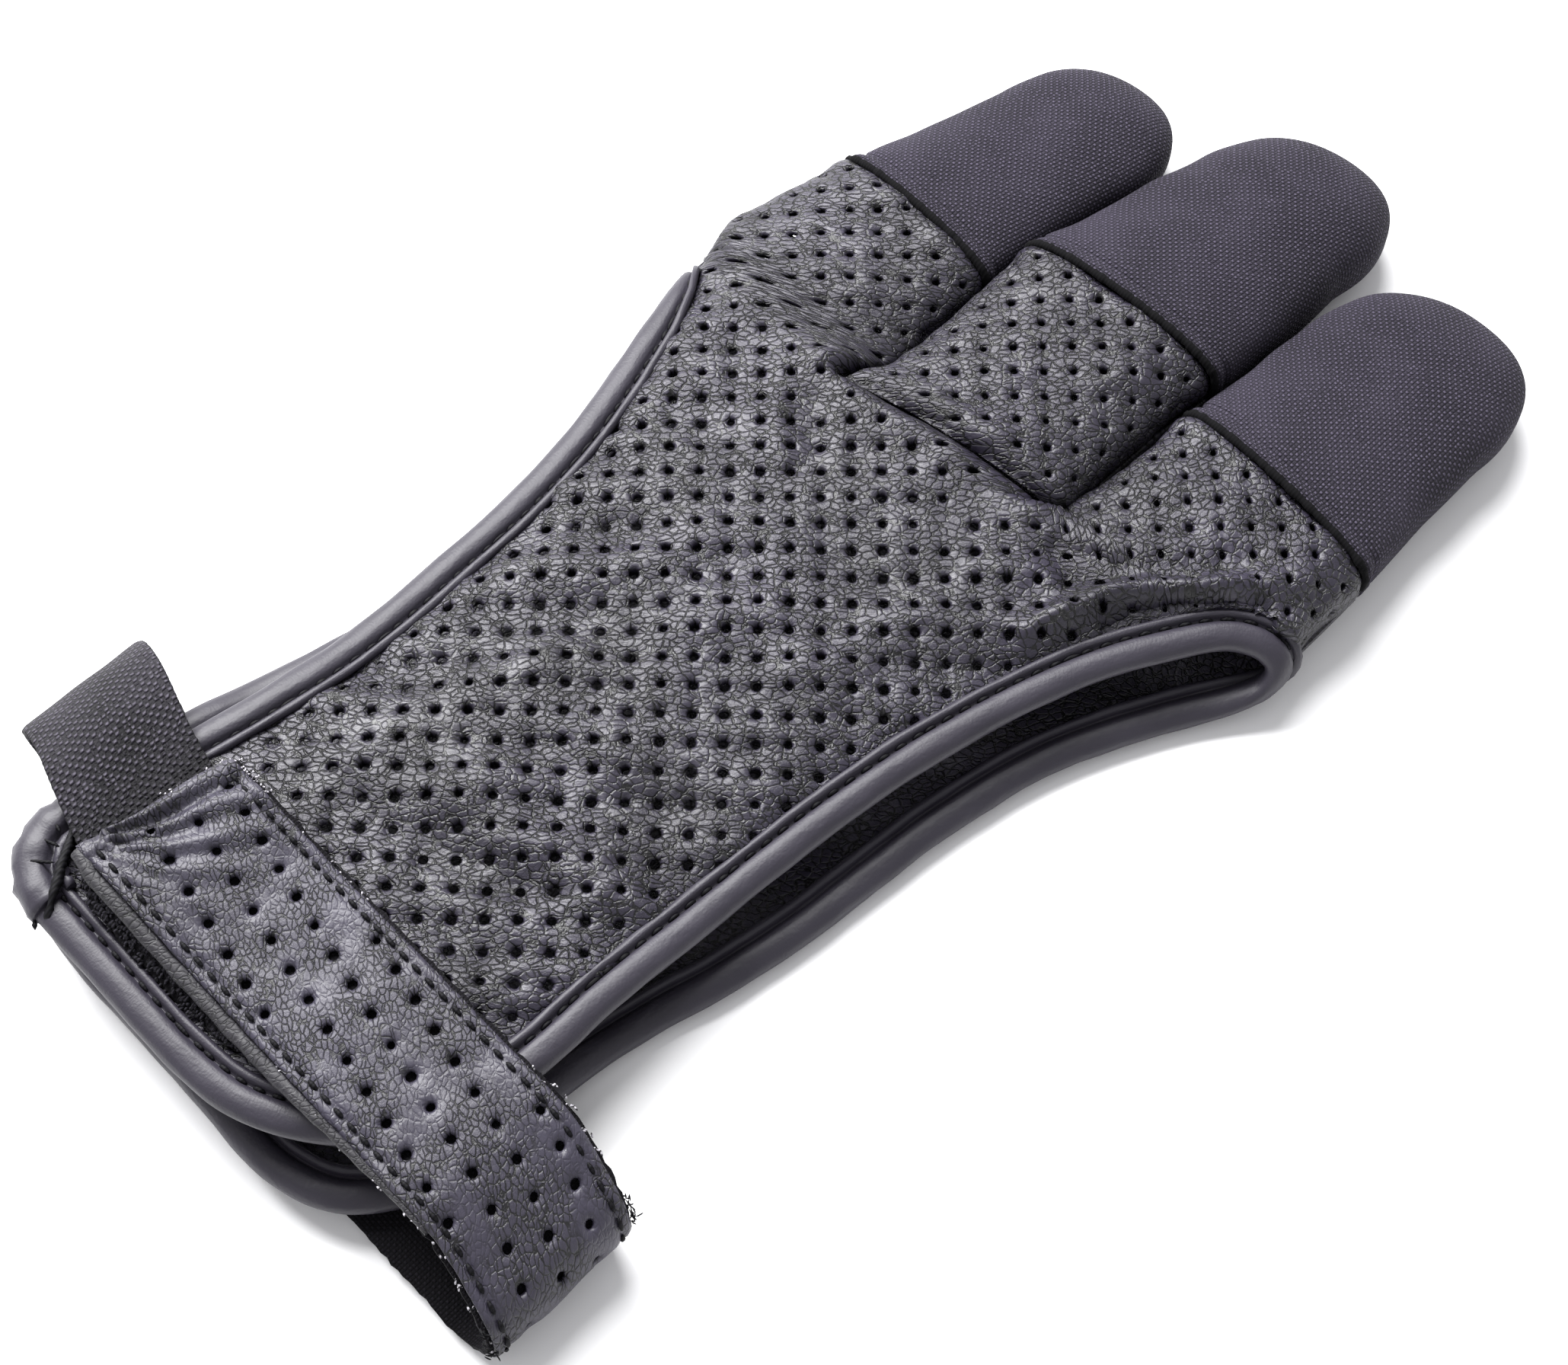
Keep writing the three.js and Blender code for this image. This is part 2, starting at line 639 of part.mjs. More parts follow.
// A woven cap: a hollow sleeve from the hem to a rounded closed tip
function fingertip(name) {
  const { hem, tip } = fingerOutline[name];
  const hemMiddle = lengthwise((hem.left + hem.right) / 2);
  const tipY = lengthwise(tip.along);
  const skin = (turn, y, depth) => {
    const p = turn <= 0.5
      ? fingerSkin(name, 'back', turn * 2, y, depth)
      : fingerSkin(name, 'palm', 2 - turn * 2, y, depth);
    if (turn === 0 || turn === 0.5) p.z = seamHeight;
    return p;
  };
  const sheet = new Sheet();
  sheet.addGrid(evenRows(stepsAlongTip), stepsAcrossFinger * 2, (v, turn) => {
    const startY = hemY(name, skin(turn, hemMiddle, 0).x);
    const reach = Math.sin((v * Math.PI) / 2);
    const outer = skin(turn, mix(startY, tipY, reach), 0);
    const inner = skin(turn, mix(startY, tipY - nylonWall, reach), nylonWall);
    if (v === 1) {
      outer.set(crosswise(tip.centre), tipY, seamHeight);
      inner.set(crosswise(tip.centre), tipY - nylonWall, seamHeight);
    }
    return { outer, inner };
  }, true);
  return facingOut(sheet.geometry());
}

// A band that follows a line of points in X and Z, with its width along Y. near and far are its
// two faces' distances from the line, which stays above the lowest height given.
function band(points, lowest, steps, near, far, edges, skew) {
  const curve = new THREE.CatmullRomCurve3(points, false, 'centripetal');
  const sheet = new Sheet();
  sheet.addGrid(evenRows(steps), bandColumns, (v, across) => {
    const ahead = curve.getTangentAt(v);
    const out = new THREE.Vector3(-ahead.z, 0, ahead.x);
    const face = (distance) => {
      const point = curve.getPointAt(v);
      point.z = Math.max(point.z, lowest);
      point.addScaledVector(out, distance);
      point.y = mix(edges.low, edges.high, across);
      return skew(point, v, across);
    };
    return { outer: face(far), inner: face(near) };
  });
  return facingOut(sheet.geometry());
}

// Heights of what the strap and the elastic pass over
const bindingTop = backEdgeHeight(-strapStart) + bindingThickness / 2;
const backTop = backEdgeHeight(-strapStart) + backRise * wristCrown + leatherWall / 2;

// The strap's line runs through the middle of its two layers
function strapLine() {
  const half = strapThickness / 2;
  const overBinding = bindingTop + clearance + half;
  const overBack = Math.max(bindingTop, backTop) + clearance + half;
  const overElastic = overBack + elasticWall + clearance;
  const fold = strapReach - half;
  const radius = (strapFoldHeight - strapThickness) / 2;
  const rows = [
    [strapLeftEnd, overElastic],
    [strapLeftEnd * 0.72, overElastic],
    [strapLeftEnd * 0.3, overBack],
    [strapReach * 0.2, overBack],
    [strapReach * 0.45, mix(overBack, overBinding, 0.6)],
    [strapReach * 0.66, overBinding],
    [fold - radius * 1.2, half + radius * 2.06],
    [fold - radius * 0.35, half + radius * 1.65],
    [fold, half + radius],
    [fold - radius * 0.35, half + radius * 0.35],
    [fold - radius * 1.2, half],
    [mix(fold, strapUnderEnd, 0.6), half],
    [strapUnderEnd, half],
  ];
  return rows.map(([x, z]) => new THREE.Vector3(x, 0, z));
}

const strapEdges = { high: -strapStart, low: -strapStart - strapWidth };

// The returning layer slips towards the wrist, and the sewn end is cut on the slant
function strapSkew(point, v, across) {
  point.y -= strapSlip * smooth(0.5, 0.72, v);
  point.x += strapSlant * (across - 0.5) * smooth(0.2, 0, v);
  return point;
}

function wristStrap() {
  const half = strapThickness / 2;
  return band(strapLine(), half, strapSteps, half - strapLeather, half, strapEdges, strapSkew);
}

function strapLining() {
  const half = strapThickness / 2;
  return band(strapLine(), half, strapSteps, -half, strapTape - half, strapEdges, strapSkew);
}

function elasticLoop() {
  const half = elasticWall / 2;
  const overBinding = bindingTop + clearance + half;
  const overBack = Math.max(bindingTop, backTop) + clearance + half;
  const fold = half - elasticReach;
  const radius = (elasticFoldHeight - elasticWall) / 2;
  const rows = [
    [elasticInnerEnd, overBack],
    [mix(elasticInnerEnd, fold, 0.3), mix(overBinding, overBack, 0.5)],
    [mix(elasticInnerEnd, fold, 0.6), overBinding],
    [mix(elasticInnerEnd, fold, 0.84), mix(half, overBinding, 0.76)],
    [fold + radius * 0.3, half + radius * 1.7],
    [fold, half + radius],
    [fold + radius * 0.4, half + radius * 0.3],
    [fold + radius * 1.3, half],
    [mix(elasticInnerEnd, fold, 0.5), half],
    [elasticInnerEnd, half],
  ];
  const nearFingers = -strapStart - elasticInset;
  const edges = { high: nearFingers, low: nearFingers - elasticWidth };
  const skew = (point) => {
    point.y += elasticRise * smooth(elasticInnerEnd, fold, point.x);
    return point;
  };
  const points = rows.map(([x, z]) => new THREE.Vector3(x, 0, z)).reverse();
  return band(points, half, elasticSteps, -half, half, edges, skew);
}

const palette = {
  leather: { color: 0x34333c, roughness: 0.62 },
  binding: { color: 0x3b3a43, roughness: 0.5 },
  nylon: { color: 0x2b2a31, roughness: 0.9 },
  tape: { color: 0x121217, roughness: 0.95 },
  elastic: { color: 0x26252b, roughness: 0.85 },
};

const glove = new THREE.Group();

function addPiece(name, geometry, look) {
  const material = new THREE.MeshStandardMaterial({ ...palette[look], metalness: 0 });
  const mesh = new THREE.Mesh(geometry, material);
  mesh.name = name;
  glove.add(mesh);
}

addPiece('back_panel', backPanel(), 'leather');
addPiece('middle_finger_back', middleFingerBack(), 'leather');
addPiece('palm_panel', palmPanel(), 'leather');
for (const name of fingers) addPiece(`${name}_fingertip`, fingertip(name), 'nylon');
addPiece('thumb_side_binding', edgeBar(thumbPath(bindingStepsPerRow)), 'binding');
addPiece('little_side_binding', edgeBar(littlePath(bindingStepsPerRow)), 'binding');
addPiece('corner_tab', edgeBar(tabPath(bindingStepsPerRow), tabSwell), 'binding');
addPiece('wrist_strap', wristStrap(), 'leather');
addPiece('strap_lining', strapLining(), 'tape');
addPiece('elastic_loop', elasticLoop(), 'elastic');

// The origin is the middle of the glove's underside
const box = new THREE.Box3().setFromObject(glove);
const middle = box.getCenter(new THREE.Vector3());
glove.children.forEach((mesh) => mesh.position.set(-middle.x, -middle.y, -box.min.z));

export default glove;
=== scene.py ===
import math
import random

import bmesh
import bpy
import numpy as np
from mathutils import Matrix, Vector, noise
from mathutils.geometry import delaunay_2d_cdt


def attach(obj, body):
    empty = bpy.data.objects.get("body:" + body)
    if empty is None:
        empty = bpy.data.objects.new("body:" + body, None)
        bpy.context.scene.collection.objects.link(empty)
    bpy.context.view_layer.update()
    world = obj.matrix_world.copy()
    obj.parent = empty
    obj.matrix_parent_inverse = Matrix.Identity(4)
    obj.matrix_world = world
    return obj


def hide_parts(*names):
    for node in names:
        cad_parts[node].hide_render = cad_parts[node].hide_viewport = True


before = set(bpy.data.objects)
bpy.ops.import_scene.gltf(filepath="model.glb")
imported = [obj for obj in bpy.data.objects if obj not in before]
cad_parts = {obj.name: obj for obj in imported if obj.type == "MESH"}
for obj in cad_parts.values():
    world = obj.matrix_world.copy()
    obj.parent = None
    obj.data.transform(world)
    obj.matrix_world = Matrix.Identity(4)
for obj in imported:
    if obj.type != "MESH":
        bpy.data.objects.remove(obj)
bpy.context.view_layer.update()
random.seed(4)
mm = 0.001

# The glove's form in millimetres, the same as the solids have. Tables hold shares: along is a share
# of the length from the wrist, out and left and right are shares of the hand's width.
glove = {
    "length": 211, "handWidth": 103, "wall": 1.2, "clearance": 0.35,
    "seamHeight": 6, "leatherBluntness": 0.42, "capBluntness": 0.72, "soleBluntness": 0.55,
    "backRise": 3.2, "wristCrown": 0.55, "edgeHeight": 9.8, "wristRise": 2.2,
    "crotch": 0.645, "squareLeft": 0.609, "squareRight": 0.632, "arch": 0.565, "backArch": 0.605,
    "centre": (0.4286, 0.0678),      # from these numbers to the frame's origin
}
binding = {"width": 5.6, "thickness": 3.2, "thumbSlimness": 0.35, "palmLift": 0.2, "step": 0.9}
strap = {
    "start": 75.4, "width": 21, "leather": 1, "tape": 0.8, "reach": 48.4, "foldHeight": 12.4,
    "leftEnd": -29, "underEnd": 6, "slip": 4, "slant": 4, "droop": 0.95, "stitchStep": 2.4, "stitchIn": 1.5,
}
elastic = {
    "width": 19.2, "wall": 1.5, "reach": 56.2, "foldHeight": 9.6, "innerEnd": -25,
    "inset": 2.2, "rise": 6.3,
}
fingers = [
    {   # index
        "name": "index_fingertip", "height": 12.6, "hem": (0.748, 0.742), "tip": (0.947, -0.232),
        "rows": [(0.623, -0.475, -0.153), (0.656, -0.484, -0.153), (0.690, -0.470, -0.153),
                 (0.723, -0.453, -0.154), (0.770, -0.433, -0.158), (0.813, -0.411, -0.147),
                 (0.868, -0.382, -0.127)],
    },
    {   # middle
        "name": "middle_fingertip", "height": 14.2, "hem": (0.781, 0.787), "tip": (1.0, 0.075),
        "rows": [(0.623, -0.147, 0.170), (0.690, -0.147, 0.172), (0.737, -0.147, 0.173),
                 (0.770, -0.153, 0.179), (0.794, -0.153, 0.183), (0.832, -0.138, 0.186),
                 (0.879, -0.117, 0.188), (0.917, -0.098, 0.185)],
    },
    {   # ring
        "name": "ring_fingertip", "height": 12.8, "hem": (0.756, 0.742), "tip": (0.957, 0.370),
        "rows": [(0.623, 0.178, 0.521), (0.676, 0.179, 0.520), (0.723, 0.181, 0.519),
                 (0.766, 0.187, 0.514), (0.813, 0.193, 0.508), (0.870, 0.199, 0.505)],
    },
]
# along, out, level (1 the back's edge, 0 the palm's), turn (0 faces up, 1 faces down)
littleSideEdge = [
    (0.014, -0.314, 1, 0), (0.014, -0.175, 1, 0), (0.014, -0.030, 1, 0), (0.020, 0.055, 1, 0),
    (0.038, 0.128, 1, 0), (0.063, 0.185, 1, 0), (0.095, 0.227, 1, 0), (0.143, 0.249, 1, 0),
    (0.206, 0.248, 1, 0), (0.282, 0.252, 1, 0), (0.367, 0.262, 1, 0), (0.443, 0.282, 1, 0),
    (0.514, 0.315, 1, 0), (0.571, 0.354, 1, 0), (0.618, 0.403, 1, 0), (0.649, 0.447, 0.98, 0.05),
    (0.661, 0.485, 0.88, 0.15), (0.663, 0.510, 0.68, 0.32), (0.659, 0.518, 0.45, 0.50),
    (0.649, 0.512, 0.20, 0.70), (0.630, 0.490, 0.05, 0.88), (0.604, 0.458, 0, 1),
    (0.559, 0.412, 0, 1), (0.514, 0.376, 0, 1), (0.457, 0.350, 0, 1), (0.396, 0.335, 0, 1),
    (0.329, 0.323, 0, 1), (0.273, 0.303, 0, 1), (0.225, 0.279, 0, 1), (0.178, 0.264, 0, 1),
    (0.125, 0.262, 0, 1), (0.081, 0.256, 0, 1), (0.049, 0.232, 0, 1), (0.026, 0.189, 0, 1),
    (0.014, 0.120, 0, 1), (0.014, -0.050, 0, 1), (0.014, -0.243, 0, 1), (0.020, -0.333, 0, 1),
    (0.034, -0.376, 0, 1), (0.054, -0.394, 0, 1),
]
thumbSideEdge = [
    (0.063, -0.366, 1, 0), (0.093, -0.352, 1, 0), (0.145, -0.332, 1, 0), (0.197, -0.318, 1, 0),
    (0.254, -0.313, 1, 0), (0.329, -0.319, 1, 0), (0.396, -0.328, 1, 0), (0.457, -0.349, 1, 0),
    (0.509, -0.379, 1, 0), (0.554, -0.410, 0.98, 0.04), (0.585, -0.436, 0.88, 0.14),
    (0.602, -0.453, 0.68, 0.32), (0.606, -0.459, 0.45, 0.50), (0.596, -0.453, 0.22, 0.68),
    (0.571, -0.434, 0.05, 0.88), (0.533, -0.404, 0, 1), (0.476, -0.368, 0, 1),
    (0.415, -0.346, 0, 1), (0.348, -0.340, 0, 1), (0.291, -0.348, 0, 1), (0.239, -0.369, 0, 1),
    (0.197, -0.389, 0, 1), (0.149, -0.401, 0, 1), (0.102, -0.405, 0, 1), (0.064, -0.400, 0, 1),
]
tabEdge = [
    (0.057, -0.370, 1, 0), (0.042, -0.372, 1, 0), (0.027, -0.360, 1, 0), (0.017, -0.336, 1, 0),
    (0.015, -0.325, 1, 0),
]
# Folds of the back: from (along, out), to (along, out), half width, height
folds = [
    (0.585, 0.330, 0.670, 0.440, 4.5, 1.3), (0.545, 0.330, 0.620, 0.440, 3.5, -1.4),
    (0.300, -0.240, 0.360, 0.180, 5, 0.7), (0.230, -0.240, 0.275, 0.180, 5, 0.7),
    (0.262, -0.240, 0.316, 0.180, 4, -0.6),
]


def lengthwise(along):
    return (along - 0.5) * glove["length"]


def crosswise(out):
    return out * glove["handWidth"]


def clamp01(t):
    return min(1.0, max(0.0, t))


def smooth(start, end, value):
    t = clamp01((value - start) / (end - start))
    return t * t * (3 - 2 * t)


smoothArray = np.vectorize(smooth)


def mix(a, b, t):
    return a + (b - a) * t


def unit(v):
    return v / (np.linalg.norm(v) + 1e-12)


strapThickness = strap["leather"] + glove["clearance"] + strap["tape"]
wristLift = strapThickness + glove["clearance"]


def palmFloor(y):
    edge = -strap["start"]
    return wristLift * smooth(edge + strap["width"] / 2, edge + strap["width"] / 10, y)


def backEdgeHeight(y):
    return glove["edgeHeight"] + glove["wristRise"] * smooth(lengthwise(0.3), lengthwise(0.15), y)


def throughPoints(points, count):
    # a centripetal spline through the points, sampled count times between each two
    pts = [np.array(p, float) for p in points]
    pts = [2 * pts[0] - pts[1]] + pts + [2 * pts[-1] - pts[-2]]
    out = []
    for i in range(1, len(pts) - 2):
        p0, p1, p2, p3 = pts[i - 1:i + 3]
        d0, d1, d2 = (max(np.linalg.norm(b - a), 1e-6) ** 0.5 for a, b in ((p0, p1), (p1, p2), (p2, p3)))
        m1 = ((p1 - p0) / d0 - (p2 - p0) / (d0 + d1) + (p2 - p1) / d1) * d1
        m2 = ((p2 - p1) / d1 - (p3 - p1) / (d1 + d2) + (p3 - p2) / d2) * d1
        for k in range(count):
            t = k / count
            out.append(p1 + m1 * t + (3 * (p2 - p1) - 2 * m1 - m2) * t ** 2
                       + (2 * (p1 - p2) + m1 + m2) * t ** 3)
    out.append(pts[-2])
    return np.array(out)


def edgePath(table, slimness=0.0):
    # one frame every binding["step"]: place, forward, inward, facing, width, length so far
    count = 16
    points = [(crosswise(out), lengthwise(along),
               mix(binding["thickness"] / 2 + binding["palmLift"] + palmFloor(lengthwise(along)),
                   backEdgeHeight(lengthwise(along)), level)) for along, out, level, turn in table]
    curve = throughPoints(points, count)
    turns = np.interp(np.arange(len(curve)) / count, np.arange(len(table)), [row[3] for row in table])
    run = np.r_[0, np.cumsum(np.linalg.norm(np.diff(curve, axis=0), axis=1))]
    stops = np.linspace(0, run[-1], max(8, int(run[-1] / binding["step"])))
    place = np.stack([np.interp(stops, run, curve[:, k]) for k in range(3)], 1)
    turn = np.interp(stops, run, turns) * math.pi
    forward = np.gradient(place, axis=0)
    path = []
    for p, f, a, s in zip(place, forward, turn, stops):
        f = unit(f)
        facing = np.array([(1 if p[0] > 0 else -1) * math.sin(a), 0, math.cos(a)])
        inward = unit(np.cross(facing, f)) * (1 if table is not thumbSideEdge else -1)
        facing = unit(np.cross(f, inward)) * (1 if table is not thumbSideEdge else -1)
        width = binding["width"] * (1 - slimness * math.sin(a))
        path.append({"place": p, "forward": f, "inward": inward, "facing": facing, "turn": a,
                     "width": width, "run": s})
    return path


# the tab as it is folded: over the ends of both bindings, a little longer than the solid
tabFold = [
    (0.060, -0.366, 1, 0), (0.045, -0.369, 1, 0), (0.031, -0.359, 1, 0), (0.021, -0.337, 1, 0),
    (0.016, -0.310, 1, 0), (0.015, -0.288, 1, 0),
]
littlePath = edgePath(littleSideEdge)
thumbPath = edgePath(thumbSideEdge, binding["thumbSlimness"])
tabPath = edgePath(tabEdge)
tuck = 1.5      # how far the leather's edge reaches in under the binding's lip


def leatherEdge(path):
    return [(p["place"] + p["inward"] * (p["width"] / 2 - tuck), p["facing"]) for p in path]


def panelEdges(path):
    points = leatherEdge(path)
    top = int(np.argmax([place[1] for place, facing in points]))

    def level(p, up):
        facing = p[1].copy()
        facing[2] = up * max(0, facing[2] * up)
        return p[0], unit(facing)
    return ([level(p, 1) for p in points[:top + 1]], [level(p, -1) for p in points[top:]][::-1])


littleBack, littlePalm = panelEdges(littlePath)
thumbBack, thumbPalm = panelEdges(thumbPath)
tabCorner = leatherEdge(tabPath)[::-1]
palmCorner = leatherEdge([p for p in littlePath if p["place"][0] < crosswise(-0.27)
                          and p["turn"] > math.pi / 2])
wristY = littlePath[0]["place"][1] + binding["width"] / 2 - tuck
sides = {
    "back": (tabCorner + thumbBack, [p for p in littleBack if p[0][0] > crosswise(0.05)]),
    "palm": (palmCorner + thumbPalm, [p for p in littlePalm if p[0][0] > crosswise(0.12)]),
}
edgeTables = {}
for side, pair in sides.items():
    for k in (0, 1):
        place = np.array([p[0] for p in pair[k]])
        facing = np.array([p[1] for p in pair[k]])
        rising = np.maximum.accumulate(place[:, 1] + np.arange(len(place)) * 1e-7)
        edgeTables[side, k] = (rising, place, facing)


def edgeAt(side, k, y):
    rising, place, facing = edgeTables[side, k]
    return (np.array([np.interp(y, rising, place[:, i]) for i in range(3)]),
            unit(np.array([np.interp(y, rising, facing[:, i]) for i in range(3)])))


def fingerSection(finger, y):
    f = fingers[finger]
    along = y / glove["length"] + 0.5
    rows = np.array(f["rows"])
    left = crosswise(np.interp(along, rows[:, 0], rows[:, 1]))
    right = crosswise(np.interp(along, rows[:, 0], rows[:, 2]))
    nose = clamp01((along - rows[-1, 0]) / (f["tip"][0] - rows[-1, 0]))
    fullness = max(0.0, 1 - nose ** 2.4) ** (1 / 2.2)
    centre = mix((left + right) / 2, crosswise(f["tip"][1]), nose)
    hem = lengthwise(sum(f["hem"]) / 2)
    blunt = mix(glove["leatherBluntness"], glove["capBluntness"], smooth(hem - 2, hem + 10, y))
    return centre, (right - left) / 2 * fullness, fullness, f["height"], blunt


def fingerSkin(finger, side, around, y):
    centre, half, fullness, height, blunt = fingerSection(finger, y)
    x = centre - max(0.2, half) * math.cos(math.pi * around)
    sine = max(0.0, math.sin(math.pi * around))
    gap = glove["clearance"] / 2
    if side == "back":
        rise = max(0.2, (height - glove["seamHeight"]) * fullness)
        return np.array([x, y, glove["seamHeight"] + gap + rise * sine ** blunt])
    drop = max(0.2, (glove["seamHeight"] - gap) * fullness)
    return np.array([x, y, glove["seamHeight"] - gap
                     - drop * min(1.0, 1.15 * sine ** glove["soleBluntness"])])


def foldHeight(x, y):
    height = 0
    for fromAlong, fromOut, toAlong, toOut, width, rise in folds:
        ax, ay = crosswise(fromOut), lengthwise(fromAlong)
        bx, by = crosswise(toOut) - ax, lengthwise(toAlong) - ay
        t = clamp01(((x - ax) * bx + (y - ay) * by) / (bx * bx + by * by))
        away = math.hypot(x - ax - bx * t, y - ay - by * t) / width
        height += rise * math.exp(-away * away) * smooth(0, 0.25, t) * smooth(1, 0.75, t)
    return height


def flatSkin(side, across, y):
    a = edgeAt(side, 0, y)[0]
    b = edgeAt(side, 1, y)[0]
    x = mix(a[0], b[0], across)
    crown = max(0.0, 1 - (2 * across - 1) ** 2)
    if side == "back":
        rise = glove["backRise"] * mix(1, glove["wristCrown"],
                                       smooth(lengthwise(0.3), lengthwise(0.15), y))
        rise *= smooth(wristY, wristY + 9, y)       # held down under the wrist binding's lip
        z = backEdgeHeight(y) + rise * math.sqrt(crown) * (1 - 0.12 * crown) + foldHeight(x, y)
        return np.array([x, y, z + glove["wall"] / 2])
    return np.array([x, y, palmFloor(y)])


def freeSkin(side, finger, around, y):
    arched = fingerSkin(finger, side, around, y)
    neighbour = finger + (-1 if around <= 0 else 1)
    if y <= lengthwise(glove["crotch"]) + 1e-6 and (around <= 0 or around >= 1) and 0 <= neighbour <= 2:
        arched = (arched + fingerSkin(neighbour, side, 1 - around, y)) / 2
    arch = glove["backArch"] if side == "back" else glove["arch"]
    share = smooth(lengthwise(arch), lengthwise(glove["crotch"]), y)
    return mix(flatSkin(side, (finger + around) / 3, y), arched, share)


def handSkin(side, finger, around, y):
    point = freeSkin(side, finger, around, y)
    for k, holdFinger, holdAround in ((0, 0, 0.0), (1, 2, 1.0)):
        if finger != holdFinger:
            continue
        place, facing = edgeAt(side, k, y)
        target = place + facing * glove["wall"] / 2
        if y >= edgeTables[side, k][0][-1]:
            target = fingerSkin(finger, side, holdAround, y)
        home = freeSkin(side, finger, holdAround, y)
        root = freeSkin(side, finger, 1 - holdAround, y)
        nearness = (1 - abs(around - holdAround)) ** 4
        point[0] = mix(root[0], target[0], (point[0] - root[0]) / (home[0] - root[0]))
        point[1] += (target[1] - y) * nearness
        point[2] += (target[2] - home[2]) * nearness
    if side == "palm":
        point[2] = max(point[2], palmFloor(y))
    return point


# A panel of leather is laid out flat, punched, meshed and lifted back onto the glove's form
sheetDetail = {
    "rowStep": 1.5, "columns": 26, "stations": 48, "crotchSpread": 0.3, "mesh": 0.85,
    "holeRadius": 0.66, "holeSides": 9, "holeSink": 0.42, "rim": 0.3, "rimSink": 0.12,
    "fingerHoles": 0.2, "jitter": 0.12, "edgeRoom": 0.55, "holeRoom": 0.62,
}


class PanelMap:
    def __init__(self, side, lowY, highY):
        rows = np.arange(lowY, highY + sheetDetail["rowStep"], sheetDetail["rowStep"])
        crotchY = lengthwise(glove["crotch"])
        self.rows = np.unique(np.r_[rows, crotchY])
        n = sheetDetail["stations"]
        q = np.linspace(0, 1, n + 1)
        self.grid = np.zeros((3, len(self.rows), n + 1, 3))
        self.width = np.zeros((3, len(self.rows)))
        arounds = (1 - np.cos(np.linspace(0, math.pi, sheetDetail["columns"] + 1))) / 2
        arounds = mix(arounds, np.linspace(0, 1, sheetDetail["columns"] + 1), 0.35)
        for f in range(3):
            for j, y in enumerate(self.rows):
                pts = np.array([handSkin(side, f, a, y) for a in arounds])
                run = np.r_[0, np.cumsum(np.linalg.norm(np.diff(pts, axis=0), axis=1))]
                self.width[f, j] = run[-1]
                for k in range(3):
                    self.grid[f, j, :, k] = np.interp(q * run[-1], run, pts[:, k])
        gap = np.maximum(0, self.rows - crotchY) * sheetDetail["crotchSpread"]
        middle = self.width[1] / 2
        self.left = np.array([-middle - gap - self.width[0], -middle, middle + gap])
        self.right = self.left + self.width
        self.centreX = self.grid[:, :, n // 2, 0]

    def edge(self, finger, q, y):
        left = np.interp(y, self.rows, self.left[finger])
        return left + q * np.interp(y, self.rows, self.width[finger])

    def patternToFlat(self, finger, u, y):
        # where a point of the punched pattern lies on this finger's strip
        return self.edge(finger, 0.5, y) + u - np.interp(y, self.rows, self.centreX[finger])

    def lift(self, flat):
        t, y = flat[:, 0], flat[:, 1]
        y = np.clip(y, self.rows[0], self.rows[-1] - 1e-6)
        j = np.clip(np.searchsorted(self.rows, y, side="right") - 1, 0, len(self.rows) - 2)
        f = (y - self.rows[j]) / (self.rows[j + 1] - self.rows[j])
        lefts = np.stack([mix(self.left[k][j], self.left[k][j + 1], f) for k in range(3)])
        rights = np.stack([mix(self.right[k][j], self.right[k][j + 1], f) for k in range(3)])
        away = np.maximum(lefts - t, t - rights)
        finger = np.argmin(away, axis=0)
        index = np.arange(len(t))
        q = np.clip((t - lefts[finger, index]) / (rights[finger, index] - lefts[finger, index]), 0, 1)
        n = self.grid.shape[2] - 1
        c = np.clip((q * n).astype(int), 0, n - 1)
        w = (q * n - c)[:, None]
        f = f[:, None]
        g = self.grid
        low = g[finger, j, c] * (1 - w) + g[finger, j, c + 1] * w
        high = g[finger, j + 1, c] * (1 - w) + g[finger, j + 1, c + 1] * w
        return low * (1 - f) + high * f


def hemY(finger, x):
    f = fingers[finger]
    rows = np.array(f["rows"])
    left = crosswise(np.interp(f["hem"][0], rows[:, 0], rows[:, 1]))
    right = crosswise(np.interp(f["hem"][1], rows[:, 0], rows[:, 2]))
    return lengthwise(mix(f["hem"][0], f["hem"][1], clamp01((x - left) / (right - left))))


def sampled(a, b, step=1.0):
    # the points of a line between two flat places, without its end
    count = max(1, int(math.dist(a, b) / step))
    return [(mix(a[0], b[0], k / count), mix(a[1], b[1], k / count)) for k in range(count)]


def insidePolygon(points, polygon):
    x, y = points[:, 0], points[:, 1]
    inside = np.zeros(len(points), bool)
    n = len(polygon)
    for i in range(n):
        x0, y0 = polygon[i]
        x1, y1 = polygon[(i + 1) % n]
        if y0 == y1:
            continue
        crossing = ((y0 > y) != (y1 > y)) & (x < (x1 - x0) * (y - y0) / (y1 - y0) + x0)
        inside ^= crossing
    return inside


